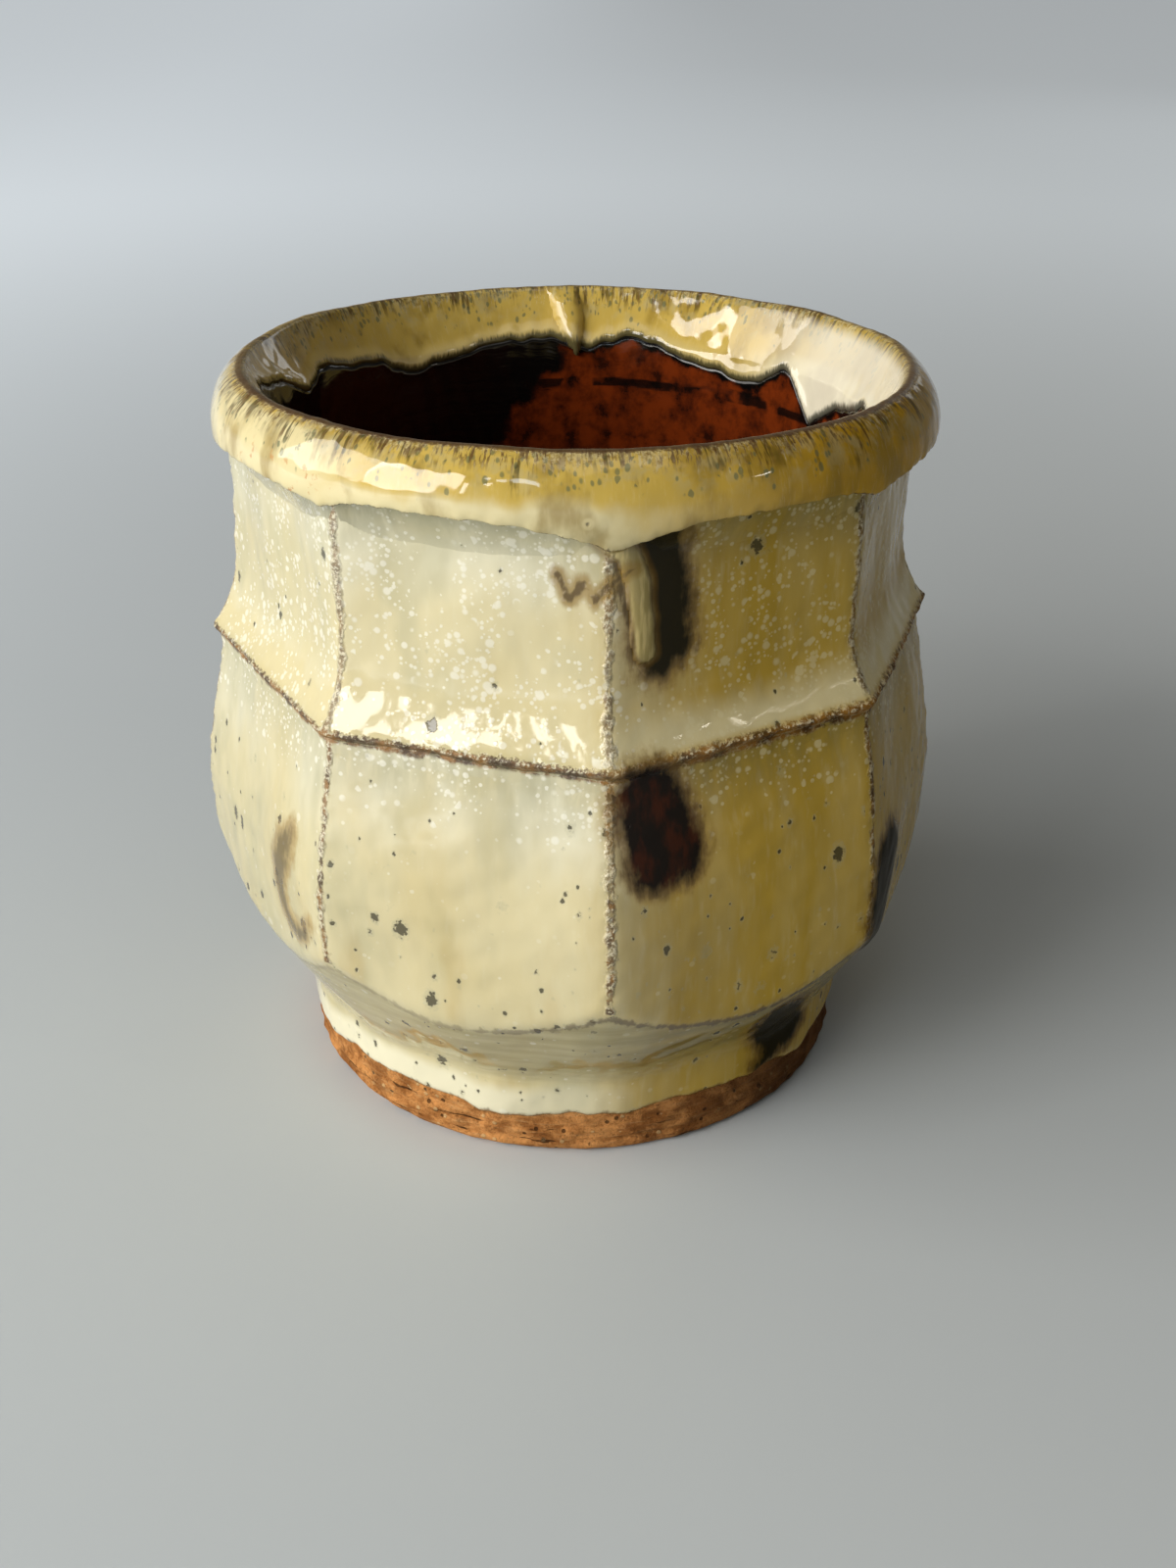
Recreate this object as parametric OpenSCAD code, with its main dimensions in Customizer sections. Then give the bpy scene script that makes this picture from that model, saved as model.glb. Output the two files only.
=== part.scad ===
// Faceted stoneware tea cup: a thrown pot with two tiers of eight cut facets,
// a rolled collar lip, a turned neck and a trimmed foot, under three glazes.
// The axis is Z, the foot stands on Z = 0 and the front of the cup faces -Y.
// Sizes are those of the fired clay, except where a line says glazed.

/* [Overall] */
// Glazed height of the cup, foot to lip
cup_h = 82; // [79:0.5:88]
// Height of the waist ridge above the table
waist_h = 52.9; // [50:0.1:56]

/* [Upper tier] */
// Distance from the axis to an upper facet
face_d = 34; // [33.6:0.1:35.5]
// How far the waist ridge stands out of the upper facets
ridge_out = 2.9; // [2.4:0.1:3.6]
// Share of the upper tier's height over which a facet coves out to the ridge
cove_share = 0.366; // [0.3:0.002:0.42]
// Radius of the fillet under the collar
ledge_r = 3; // [2:0.1:4]
// How far the top edge of a facet arches down at its corners
arch_drop = 2.5; // [1.5:0.1:3.5]

/* [Lower tier] */
// How far the belly stands out of the upper facets
belly_out = 5; // [4.2:0.1:6]
// Height of the widest line of the belly
belly_h = 33.2; // [30:0.1:36]
// How far a lower facet draws in from the widest line down to the height of the neck
belly_tuck = 1.4; // [1:0.1:1.8]
// Radius of the nearly straight shoulder above the belly
shoulder_r = 120; // [100:5:160]
// How far above the widest line the shoulder begins
shoulder_rise = 1.2; // [0.8:0.1:1.8]
// How far the step under the ridge goes in
step_in = 0.9; // [0.6:0.1:1.2]
// How far the step under the ridge goes down
step_down = 1.1; // [0.8:0.1:1.4]

/* [Hand cutting] */
// How far the facets wander in depth
depth_wander = 0.3; // [0:0.05:0.45]
// How far the waist ridge wanders up and down
ridge_wander = 1.1; // [0:0.1:1.4]

/* [Lip] */
// How far the rolled collar overhangs the upper facets
collar_out = 4.2; // [3.6:0.1:5]
// How far the widest line of the collar lies below the glazed lip
collar_drop = 5.5; // [5:0.1:6]
// How far the clay draws in below the roll
collar_tuck = 0.6; // [0.3:0.1:0.8]
// How far the ledge under the collar lies below the glazed lip
ledge_drop = 5.6; // [5.2:0.1:6.4]
// Glazed width of the lip, from the collar's widest line to the mouth
lip_w = 4.1; // [3.7:0.1:4.6]
// Glazed width of the level crest of the lip
crest_w = 1.1; // [0.9:0.1:1.3]
// Wall at the throat, from the clay of a facet to the glazed well
throat_wall = 2.7; // [2.4:0.1:3.2]
// Depth of the throat below the glazed lip
throat_drop = 6.5; // [6:0.1:7]

/* [Inside] */
// Wall at the waist, from the clay of an upper facet to the glazed well
waist_wall = 3.6; // [3.2:0.1:4.4]
// Wall at the belly, from the clay of a lower facet to the glazed well
belly_wall = 5.2; // [4.4:0.1:6]
// Radius of the glazed curve from the belly up to the waist inside
hollow_round = 80; // [60:1:90]
// Radius of the glazed curve from the belly down to the floor inside
floor_round = 21; // [18:0.5:23]
// Height of the glazed floor inside
floor_h = 12.6; // [11:0.1:14]

/* [Foot] */
// How far the foot wall lies inside the belly
foot_in = 6.7; // [6:0.1:8]
// Height at which the foot wall meets the round underside of the belly
neck_h = 10.9; // [10.3:0.1:11.5]
// Radius of the cove turned between the foot wall and the underside
neck_round = 3; // [2:0.1:3.6]
// Slope of the underside, in degrees from level
under_angle = 58; // [56:0.5:60]
// Width of the foot ring at the table, with its bevel
foot_ring_w = 7.3; // [5:0.1:10]
// Depth of the hollow under the foot
foot_hollow = 3.5; // [2.5:0.1:3.8]
// Bevel on the outer edge of the foot
foot_bevel = 1; // [0.5:0.1:1.5]

/* [Glaze] */
// Thickness of the cream glaze outside
outer_glaze_t = 0.6; // [0.4:0.05:0.8]
// Thickness of the amber glaze on the lip
rim_glaze_t = 0.6; // [0.4:0.05:0.8]
// Thickness of the iron glaze inside
liner_glaze_t = 0.6; // [0.4:0.05:0.8]
// Height of the glaze line above the table
glaze_line_h = 5.7; // [4:0.1:7]
// How far the cream glaze climbs the face of the collar
glaze_lap = 0.2; // [0.1:0.05:0.4]
// How far the amber glaze runs down inside, below the lip
rim_glaze_drop = 9.5; // [8.5:0.1:12]

/* [Brushwork] */
// Thickness of the iron daubs on the glaze
daub_t = 0.15; // [0.1:0.05:0.25]
// Height of a daub on an upper facet
upper_daub_h = 12; // [8:0.5:13]
// Height of a daub on a lower facet
lower_daub_h = 13; // [8:0.5:15]
// Width of a daub
daub_w = 8; // [5:0.5:9]
// Width of the daub on the foot wall
foot_daub_w = 10.5; // [6:0.5:12]
// Height of the daub on the foot wall
foot_daub_h = 10; // [7:0.5:10]
// Azimuth of the daub on the foot wall
foot_daub_az = 51; // [45:1:57]
// Radius of the run of amber glaze down a front facet
run_r = 2.2; // [1.6:0.1:3]
// How far the run stands out of the facet
run_lift = 0.9; // [0.5:0.1:1.2]
// How much longer the run is than the flat that it crosses, with its buried ends
run_over = 7.5; // [4:0.1:9]
// Lean of the run from upright
run_lean = 14; // [0:1:20]

/* [Hidden] */
$fn = 192;

// Azimuths of the cut corners, counted from the front of the cup towards +X
corner_az = [-83, -37, 5, 48.5, 91, 138, 185, 231];
// How high the ridge stands at each corner, as shares of its wander
corner_rise_shares = [-0.4, -0.5, -1, 0.3, 1, 0.5, 0, -0.2];
// How far out each facet lies, as shares of the wander in depth
facet_depth_shares = [0.6, 0, -0.3, -1, -0.8, 0.3, 0.4, 1];
facet_count = len(corner_az);
half_angle = 180 / facet_count;

// Daubs on upper facets: facet, place along it as a share of its half width, place
// up its flat as a share of the flat's height, and lean in degrees
upper_daub_shares = [[2, -0.33, 0.43, 4]];
// Daubs on lower facets: the same, the height counted from the neck to the ridge
lower_daub_shares = [[0, 0.53, 0.55, 8], [2, -0.62, 0.82, -6], [3, -0.43, 0.45, 0]];
// Place of the run's middle along its facet and up its flat, as shares
run_facet = 2;
run_place_shares = [-0.78, 0.4];

// Clearance by which cutting shapes run past what they cut
overrun = 4;
// How far a round cutter dips past the straight one that it meets
blend_dip = 0.1;
// How far the stock of the thrown belly stands out past the cut corners
stock_margin = 3;
ridge_d = face_d + ridge_out;
belly_d = face_d + belly_out;
foot_r = belly_d - foot_in;
foot_ring_r = foot_r - foot_ring_w;
collar_r = face_d + collar_out;
mouth_r = collar_r + rim_glaze_t - lip_w;
throat_r = face_d - throat_wall;
wall_r = face_d - waist_wall;
hollow_r = belly_d - belly_wall;
stock_r = belly_d / cos(half_angle) + stock_margin;
cut_reach = stock_r + overrun;
core_d = belly_d / 2;

collar_z = cup_h - collar_drop;
ledge_z = cup_h - ledge_drop;
throat_z = cup_h - throat_drop;
rim_glaze_z = cup_h - rim_glaze_drop;
cove_h = cove_share * (ledge_z - waist_h);
flat_z = waist_h + cove_h;
flat_h = ledge_z - flat_z;
face_half_w = face_d * tan(half_angle);
belly_half_w = belly_d * tan(half_angle);
arch_r = (pow(face_half_w, 2) + pow(arch_drop, 2)) / (2 * arch_drop);
cove_in = ridge_d - face_d + blend_dip;
cove_r = (pow(cove_h, 2) + pow(cove_in, 2)) / (2 * cove_in);
// Depth of the middle of the throat's wall under the glazed well
split_depth = (throat_wall + liner_glaze_t - depth_wander) / 2;
// Radius of the collar's roll, from its widest line up to the crest of the lip
roll_in = lip_w - crest_w;
collar_roll = (pow(collar_drop, 2) + pow(roll_in, 2)) / (2 * roll_in) - rim_glaze_t;
// Radius of a lower facet below the widest line. The facet cuts end at the neck, in
// the open space under the belly
belly_drop = belly_h - neck_h;
belly_r = (pow(belly_drop, 2) + pow(belly_tuck, 2)) / (2 * belly_tuck);
// Height of the widest line inside the belly
hollow_h = floor_h + floor_round - blend_dip;
// Centre of the cove under the belly, and where the cove runs into the underside
cove_centre = [foot_r + neck_round, neck_h + neck_round * (tan(under_angle) - 1 / cos(under_angle))];
cove_end = cove_centre + neck_round * [-sin(under_angle), cos(under_angle)];

// Centre of the arc of radius r from point a to point b, on the left of a-b
function arc_centre(a, b, r) =
    let (v = b - a, c = norm(v), h = sqrt(r * r - c * c / 4))
    (a + b) / 2 + h * [-v[1], v[0]] / c;

// Distance from the axis, at height z, of the line a-b moved to its right by off
function line_d(a, b, off, z) =
    let (v = b - a)
    a[0] + (z - a[1]) * v[0] / v[1] + off * norm(v) / v[1];

// Facet k lies between corners k and k + 1
function az_from(k) = corner_az[k];
function az_to(k) = k + 1 < facet_count ? corner_az[k + 1] : corner_az[0] + 360;
function rise_at(k) = ridge_wander * corner_rise_shares[k % facet_count];
function half_span(k) = (az_to(k) - az_from(k)) / 2;
function facet_waist(k) = waist_h + (rise_at(k) + rise_at(k + 1)) / 2;
// A wider facet lies nearer the axis, so that all corners reach as far out
function facet_shift(k) =
    ridge_d / cos(half_angle) * (cos(half_span(k)) - cos(half_angle))
    + depth_wander * facet_depth_shares[k];
function facet_roll(k) =
    atan((rise_at(k + 1) - rise_at(k)) / (2 * ridge_d * tan(half_angle)));

// Places children in the frame of facet k: X outwards, Y along the facet
module facet_place(k) {
    rotate([0, 0, (az_from(k) + az_to(k)) / 2 - 90])
        translate([facet_shift(k), 0, facet_waist(k)])
            rotate([facet_roll(k), 0, 0])
                translate([0, 0, -facet_waist(k)])
                    children();
}

// Turns a drawing of distance and height into a bar of width w along a facet
module facet_bar(w) {
    rotate([90, 0, 0])
        linear_extrude(height = w, center = true)
            children();
}

// Everything below the arched top edge of a facet, with the glaze t thick
module arch_bar(t) {
    translate([core_d, 0, ledge_z - arch_r])
        rotate([0, 90, 0])
            cylinder(r = arch_r - t, h = cut_reach - core_d);
}

// What the upper cut takes off: a flat face with a cove below and a fillet above
module upper_cut_profile(t, waist) {
    cove_z = waist + cove_h;
    ledge_centre_z = ledge_z + blend_dip * 3 - ledge_r;
    translate([face_d + t, cove_z])
        square([cut_reach - face_d, ledge_centre_z - cove_z]);
    translate([face_d - blend_dip + cove_r, cove_z])
        circle(cove_r - t);
    translate([face_d - blend_dip + cove_r, waist])
        square([cut_reach, cove_h + blend_dip]);
    translate([face_d - blend_dip + ledge_r, ledge_centre_z])
        circle(ledge_r - t);
    translate([face_d + ledge_r, cove_z])
        square([cut_reach - face_d, ledge_z + overrun - cove_z]);
}

// The nearly straight shoulder of a lower facet, from the belly up to the step
module shoulder_disc(t, waist) {
    belly_run = sqrt(pow(belly_r, 2) - pow(shoulder_rise, 2));
    shoulder_foot = [belly_d - belly_r + belly_run, belly_h + shoulder_rise];
    shoulder_top = [ridge_d - step_in, waist - step_down];
    translate(arc_centre(shoulder_foot, shoulder_top, shoulder_r))
        circle(shoulder_r + t);
}

// The belly of a lower facet: a slightly rounded face and a nearly straight shoulder
module belly_profile(t, waist) {
    intersection() {
        translate([belly_d - belly_r, belly_h])
            circle(belly_r + t);
        shoulder_disc(t, waist);
    }
}

// Stands in for the part of the belly above the reach of its rounded face
module shoulder_profile(t, waist) {
    intersection() {
        translate([0, belly_h + 2 * shoulder_rise])
            square([cut_reach, waist - belly_h]);
        shoulder_disc(t, waist);
    }
}

// What the lower cut takes off, up to the slanting step under the ridge
module lower_cut_profile(t, waist) {
    step_slope = step_down / step_in;
    step_shift = t * norm([step_in, step_down]) / step_in;
    function step_z(d) = waist + (d - ridge_d) * step_slope - step_shift;
    difference() {
        polygon([
            [core_d, neck_h],
            [cut_reach, neck_h],
            [cut_reach, step_z(cut_reach)],
            [core_d, step_z(core_d)]
        ]);
        belly_profile(t, waist);
        shoulder_profile(t, waist);
    }
}

// The round underside of the thrown belly, glazed t thick, and the cove at its foot
module underside_profile(t) {
    under_fall = t / cos(under_angle);
    edge_rise = (stock_r + t - foot_r) * tan(under_angle);
    polygon([
        [0, neck_h],
        [foot_r, neck_h - under_fall],
        [stock_r + t, neck_h - under_fall + edge_rise],
        [stock_r + t, waist_h + cove_h],
        [0, waist_h + cove_h]
    ]);
    difference() {
        polygon([
            [foot_r, cove_centre[1]],
            cove_centre,
            cove_end,
            [foot_r, neck_h]
        ]);
        translate(cove_centre)
            circle(neck_round - t);
    }
}

// Half section of the thrown form before the facets are cut, glazed t thick
module thrown_profile(t) {
    polygon([
        [0, 0],
        [foot_r - foot_bevel + t, 0],
        [foot_r + t, foot_bevel],
        [foot_r + t, neck_h],
        [0, neck_h]
    ]);
    underside_profile(t);
    translate([0, waist_h])
        square([collar_r - collar_tuck + t, collar_z - waist_h]);
    intersection() {
        translate([collar_r - collar_roll, collar_z])
            circle(collar_roll + t);
        square([cut_reach, cup_h - rim_glaze_t + t]);
    }
    translate([0, waist_h])
        square([collar_r - collar_roll, cup_h - rim_glaze_t + t - waist_h]);
}

// The whole cup as a solid block, faceted and glazed t thick
module cup_outline(t) {
    difference() {
        rotate_extrude()
            thrown_profile(t);
        for (k = [0:facet_count - 1])
            facet_place(k) {
                intersection() {
                    facet_bar(2 * cut_reach)
                        upper_cut_profile(t, facet_waist(k));
                    arch_bar(t);
                }
                facet_bar(2 * cut_reach)
                    lower_cut_profile(t, facet_waist(k));
            }
    }
}

// Half section of the drinking well, grown by the glaze on its wall and its lip
module hollow_profile(wall_grow, lip_grow) {
    waist_point = [wall_r, waist_h];
    throat_point = [throat_r, throat_z];
    lip_point = [mouth_r, cup_h];
    mouth_low_z = throat_z - overrun / 2;
    wall_top_z = throat_z + overrun / 4;
    mouth_top_z = cup_h + overrun;
    polygon([
        [0, mouth_low_z],
        [line_d(throat_point, lip_point, lip_grow, mouth_low_z), mouth_low_z],
        [line_d(throat_point, lip_point, lip_grow, mouth_top_z), mouth_top_z],
        [0, mouth_top_z]
    ]);
    polygon([
        [0, hollow_h],
        [line_d(waist_point, throat_point, wall_grow, hollow_h), hollow_h],
        [line_d(waist_point, throat_point, wall_grow, wall_top_z), wall_top_z],
        [0, wall_top_z]
    ]);
    intersection() {
        translate([hollow_r - blend_dip - hollow_round, hollow_h])
            circle(hollow_round + wall_grow);
        translate([0, hollow_h])
            square([cut_reach, throat_z - hollow_h]);
    }
    intersection() {
        translate([hollow_r - floor_round, hollow_h])
            circle(floor_round + wall_grow);
        translate([0, floor_h - wall_grow])
            square([cut_reach, floor_round + overrun]);
    }
    translate([0, floor_h - wall_grow])
        square([hollow_r - floor_round, floor_round]);
}

// The drinking well in the bare clay
module clay_hollow() {
    rotate_extrude()
        hollow_profile(liner_glaze_t, rim_glaze_t);
}

// The drinking well in the glazed cup
module glazed_hollow() {
    rotate_extrude()
        hollow_profile(0, 0);
}

// The space above the arched tops of the facets
module collar_zone() {
    difference() {
        translate([0, 0, ledge_z - arch_drop - overrun])
            cylinder(r = cut_reach, h = arch_drop + ledge_drop + 2 * overrun);
        for (k = [0:facet_count - 1])
            facet_place(k)
                arch_bar(-glaze_lap);
    }
}

// The space in which the amber glaze lies: the collar outside and the lip inside
module amber_zone() {
    difference() {
        collar_zone();
        rotate_extrude()
            hollow_profile(split_depth, split_depth);
    }
    rotate_extrude()
        intersection() {
            hollow_profile(split_depth, split_depth);
            translate([0, rim_glaze_z])
                square([cut_reach, rim_glaze_drop + overrun]);
        }
}

// The fired clay: wall, collar, belly, neck and foot in one thrown piece
module stoneware_body() {
    color([0.66, 0.42, 0.24])
        difference() {
            cup_outline(0);
            clay_hollow();
            rotate_extrude()
                polygon([
                    [0, -overrun],
                    [foot_ring_r + overrun, -overrun],
                    [foot_ring_r - foot_hollow, foot_hollow],
                    [0, foot_hollow]
                ]);
        }
}

// The cream glaze on the facets, the neck and the upper part of the foot wall
module outer_glaze() {
    color([0.88, 0.85, 0.68])
        difference() {
            cup_outline(outer_glaze_t);
            cup_outline(0);
            collar_zone();
            translate([0, 0, -overrun])
                cylinder(r = cut_reach, h = glaze_line_h + overrun);
        }
}

// The amber glaze over the collar and the lip, and a little way down inside
module rim_glaze() {
    color([0.78, 0.6, 0.25])
        difference() {
            intersection() {
                cup_outline(rim_glaze_t);
                amber_zone();
            }
            glazed_hollow();
            difference() {
                cup_outline(0);
                clay_hollow();
            }
        }
}

// The iron glaze in the well, up to the amber glaze
module liner_glaze() {
    color([0.36, 0.16, 0.1])
        rotate_extrude()
            difference() {
                hollow_profile(liner_glaze_t, rim_glaze_t);
                hollow_profile(0, 0);
                translate([0, rim_glaze_z])
                    square([cut_reach, rim_glaze_drop + 2 * overrun]);
            }
}

// Outline of a brush mark: a cushion w wide and h high with four round sides
module brush_mark(w, h) {
    intersection() {
        translate([w / 2 - h, 0])
            circle(h);
        translate([h - w / 2, 0])
            circle(h);
        translate([0, h / 2 - w])
            circle(w);
        translate([0, w - h / 2])
            circle(w);
    }
}

// A brush mark at place y, z of a facet, as a bar running outwards
module daub_bar(y, z, w, h, tilt) {
    translate([core_d, y, z])
        rotate([90, 0, 90])
            linear_extrude(height = stock_r - core_d)
                rotate(tilt)
                    brush_mark(w, h);
}

// A daub on upper facet k, between the ridge and the ledge
module upper_daub(k, y, z, w, h, tilt) {
    facet_place(k)
        intersection() {
            facet_bar(2 * cut_reach)
                difference() {
                    upper_cut_profile(outer_glaze_t, facet_waist(k));
                    upper_cut_profile(outer_glaze_t + daub_t, facet_waist(k));
                    square([cut_reach, facet_waist(k)]);
                    translate([ridge_d, 0])
                        square([cut_reach, cup_h]);
                }
            arch_bar(outer_glaze_t);
            daub_bar(y, z, w, h, tilt);
        }
}

// A daub on the belly of lower facet k
module lower_daub(k, y, z, w, h, tilt) {
    facet_place(k)
        intersection() {
            facet_bar(2 * cut_reach)
                difference() {
                    lower_cut_profile(outer_glaze_t, facet_waist(k));
                    lower_cut_profile(outer_glaze_t + daub_t, facet_waist(k));
                }
            daub_bar(y, z, w, h, tilt);
        }
}

// A daub on the foot wall at azimuth az
module foot_daub(az, z, w, h, tilt) {
    intersection() {
        rotate_extrude()
            difference() {
                thrown_profile(outer_glaze_t + daub_t);
                thrown_profile(outer_glaze_t);
            }
        rotate([0, 0, az - 90])
            daub_bar(0, z, w, h, tilt);
    }
}

// The dark iron daubs brushed over the cream glaze
module iron_daubs() {
    color([0.16, 0.1, 0.07]) {
        for (s = upper_daub_shares)
            upper_daub(s[0], s[1] * face_half_w, flat_z + s[2] * flat_h,
                daub_w, upper_daub_h, s[3]);
        for (s = lower_daub_shares)
            lower_daub(s[0], s[1] * belly_half_w, neck_h + s[2] * (waist_h - neck_h),
                daub_w, lower_daub_h, s[3]);
        foot_daub(foot_daub_az, glaze_line_h + foot_daub_h / 2 + blend_dip, foot_daub_w,
            foot_daub_h, 0);
    }
}

// A run of glaze along Z: a long drop of radius r, as thick as it stands out
module run_spindle(r, half_h) {
    arc_r = (pow(half_h, 2) + pow(r, 2)) / (2 * r);
    rotate_extrude()
        intersection() {
            translate([r - arc_r, 0])
                circle(arc_r);
            translate([0, -half_h])
                square([r + overrun, 2 * half_h]);
        }
}

// The amber run down a front facet, and the thick drop inside the lip
module glaze_runs() {
    run_l = flat_h + run_over;
    run_d = face_d + outer_glaze_t + run_lift - run_r;
    run_y = run_place_shares[0] * face_half_w;
    run_z = flat_z + run_place_shares[1] * flat_h;
    slope = [mouth_r - throat_r, throat_drop];
    drop_mid = [(mouth_r + throat_r) / 2, cup_h - throat_drop / 2];
    drop_at = drop_mid + (run_r - run_lift) * [slope[1], -slope[0]] / norm(slope);
    color([0.84, 0.7, 0.36]) {
        difference() {
            facet_place(run_facet)
                translate([run_d, run_y, run_z])
                    rotate([run_lean, 0, 0])
                        run_spindle(run_r, run_l / 2);
            cup_outline(outer_glaze_t);
        }
        intersection() {
            rotate([0, 0, 90])
                translate([drop_at[0], 0, drop_at[1]])
                    sphere(run_r);
            glazed_hollow();
        }
    }
}

stoneware_body();
outer_glaze();
rim_glaze();
liner_glaze();
iron_daubs();
glaze_runs();
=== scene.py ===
import math

import bpy
import numpy as np
from mathutils import Matrix


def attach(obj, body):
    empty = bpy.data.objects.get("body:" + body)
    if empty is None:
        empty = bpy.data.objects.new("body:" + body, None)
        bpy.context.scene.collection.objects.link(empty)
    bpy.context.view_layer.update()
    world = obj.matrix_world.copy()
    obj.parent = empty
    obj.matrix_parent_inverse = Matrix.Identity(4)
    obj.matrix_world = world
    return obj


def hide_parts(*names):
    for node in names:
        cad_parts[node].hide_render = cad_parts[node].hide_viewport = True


MM = 0.001

# Glazed sizes of the cup, as in the part's source
CUP_H = 82.0
WAIST_H = 52.9
FACE_D = 34.6
RIDGE_D = 36.9
COVE_R = 13.2
COVE_TOP_H = 61.5
COVE_CENTRE_D = 47.7
FILLET_R = 2.4
FILLET_CENTRE = (36.9, 73.7)
ARCH_R = 40.3
ARCH_CENTRE_H = 35.5
ARCH_CLEAR = 0.1
BELLY_H = 33.2
BELLY_R = 178.9
BELLY_CENTRE_D = -139.3
SHOULDER_R = 120.6
SHOULDER_FOOT = (39.0, 34.4)
SHOULDER_END_IN = 0.9
SHOULDER_END_DOWN = 1.1
STEP_SLOPE = 1.222
STEP_SHIFT = 0.95
COLLAR_BAND_R = 38.2
COLLAR_ROLL_R = 6.5
COLLAR_ROLL_CENTRE = (32.3, 76.5)
CREST_R = 35.77
MOUTH_R = 34.7
THROAT = (31.3, 75.5)
WALL = (30.4, 52.9)
HOLLOW_R = 80.0
HOLLOW_CENTRE = (-46.3, 33.5)
FLOOR_ROUND_R = 21.0
FLOOR_ROUND_CENTRE = (12.8, 33.5)
FLOOR_H = 12.6
FOOT_R = 32.9
GLAZE_LINE_H = 5.4
NECK_ROUND = 2.4
NECK_CENTRE = (35.3, 10.04)
UNDER_H = 10.73
UNDER_ANGLE = math.radians(58)
GLAZE_T = 0.6
FOOT_BEVEL = 1.0
FOOT_EDGE = ((0.7, 0.12), (0.4, 0.35), (0.15, 0.65))
FOOT_RING_R = 25.0
FOOT_HOLLOW = 3.5

# Cut corners of the facets: azimuth, rise of the ridge, depth of the facet that follows
CORNER_AZ = np.array([-83, -37, 5, 48.5, 91, 138, 185, 231])
CORNER_RISE = 1.1 * np.array([-0.4, -0.5, -1, 0.3, 1, 0.5, 0, -0.2])
FACET_DEPTH = 0.3 * np.array([0.6, 0, -0.3, -1, -0.8, 0.3, 0.4, 1])
FACETS = len(CORNER_AZ)
HALF_ANGLE = math.radians(180 / FACETS)

# Rows and columns of the skin
COLS = 560
FOOT_ROWS = 16
NECK_ROWS = 5
SHELF_ROWS = 16
BELLY_ROWS = 66
BELLY_BLEND_ROWS = 12
STEP_ROWS = 5
COVE_ROWS = 22
COVE_BLEND_ROWS = 8
FLAT_ROWS = 26
LEDGE_ROWS = 6
COLLAR_ROWS = 34
CREST_ROWS = 5
LIP_ROWS = 40
WALL_ROWS = 84
FLOOR_ROWS = 36

# Softness of the facets' corners, the swell of their faces, and the height of the belly's bend
BELLY_SOFT = 0.28
RIDGE_SOFT = 0.16
FACE_SOFT = 0.26
FACET_BULGE = 0.2
BULGE_WIDTH = 6.0
SHOULDER_FROM = 2.4

# A facet is worked out this far either side of its middle, and put far out beyond it
FACET_REACH = math.radians(52)
FAR = 1000.0
MEET_TRIES = 800

# How much closer the rows of the cove and the flat lie towards one end
COVE_CROWDING = 1.35
FLAT_CROWDING = 1.3

# The ledge under the collar, and the rounding of the well's floor
LEDGE_BLUR = 8
LEDGE_BLUR_WIDTH = 3.2
EDGE_DROOP = 0.5
EDGE_TUCK = 0.35
BOWL_DEPTH = 4.0
BOWL_END = 0.985

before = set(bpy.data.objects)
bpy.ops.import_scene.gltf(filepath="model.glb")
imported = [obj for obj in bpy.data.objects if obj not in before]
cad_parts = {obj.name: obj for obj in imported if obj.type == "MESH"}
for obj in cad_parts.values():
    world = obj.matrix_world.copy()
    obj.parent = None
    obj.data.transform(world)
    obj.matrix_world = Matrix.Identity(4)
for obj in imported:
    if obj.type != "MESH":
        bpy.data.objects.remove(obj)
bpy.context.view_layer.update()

azimuth = np.linspace(-180, 180, COLS, endpoint=False)
az_rad = np.radians(azimuth)


def wrap(angle):
    """An angle in degrees, brought to -180..180."""
    return (np.asarray(angle) + 180) % 360 - 180


next_az = np.append(CORNER_AZ[1:], CORNER_AZ[0] + 360)
next_rise = np.roll(CORNER_RISE, -1)
mid_az = (CORNER_AZ + next_az) / 2
half_span = np.radians(next_az - CORNER_AZ) / 2
facet_waist = WAIST_H + (CORNER_RISE + next_rise) / 2
facet_roll = np.arctan((next_rise - CORNER_RISE) / (2 * RIDGE_D * math.tan(HALF_ANGLE)))
facet_shift = RIDGE_D / math.cos(HALF_ANGLE) * (np.cos(half_span) - math.cos(HALF_ANGLE)) + FACET_DEPTH


def ripple(turn, up, seed, turns=20, per_mm=0.08, waves=14):
    """A smooth seeded unevenness of about -1..1 that closes round the cup."""
    rng = np.random.default_rng(seed)
    total = 0
    for _ in range(waves):
        count = rng.integers(-turns, turns + 1)
        rate = rng.uniform(-per_mm, per_mm) * 2 * math.pi
        total = total + np.cos(count * turn + rate * up + rng.uniform(0, 2 * math.pi))
    return total / math.sqrt(waves / 2)


def ripples(turn, up, *kinds):
    """A sum of ripples, each given as its size, its seed and its greatest number of turns."""
    return sum(size * ripple(turn, up, seed, turns) for size, seed, turns in kinds)


def bell(distance, width):
    """1 at a distance of 0, fading to 0 at about twice the width."""
    return np.exp(-((distance / width) ** 2))


def at_azimuths(table):
    """A value for every column, straight between (azimuth, value) points."""
    points = sorted((float(wrap(a)), v) for a, v in table)
    return np.interp(azimuth, [a for a, _ in points], [v for _, v in points], period=360)


def facet_points(k, dist, height):
    """Radius and height on facet k, at every azimuth, of its profile point (dist, height)."""
    delta = np.radians(wrap(azimuth - mid_az[k]))
    near = np.abs(delta) < FACET_REACH
    tan_delta = np.tan(np.where(near, delta, 0))
    out = dist + facet_shift[k]
    rise = height - facet_waist[k]
    along = (out * tan_delta + rise * math.sin(facet_roll[k])) / math.cos(facet_roll[k])
    z = facet_waist[k] + along * math.sin(facet_roll[k]) + rise * math.cos(facet_roll[k])
    r = np.where(near, out / np.cos(np.where(near, delta, 0)), FAR)
    return r, z, along


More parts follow.
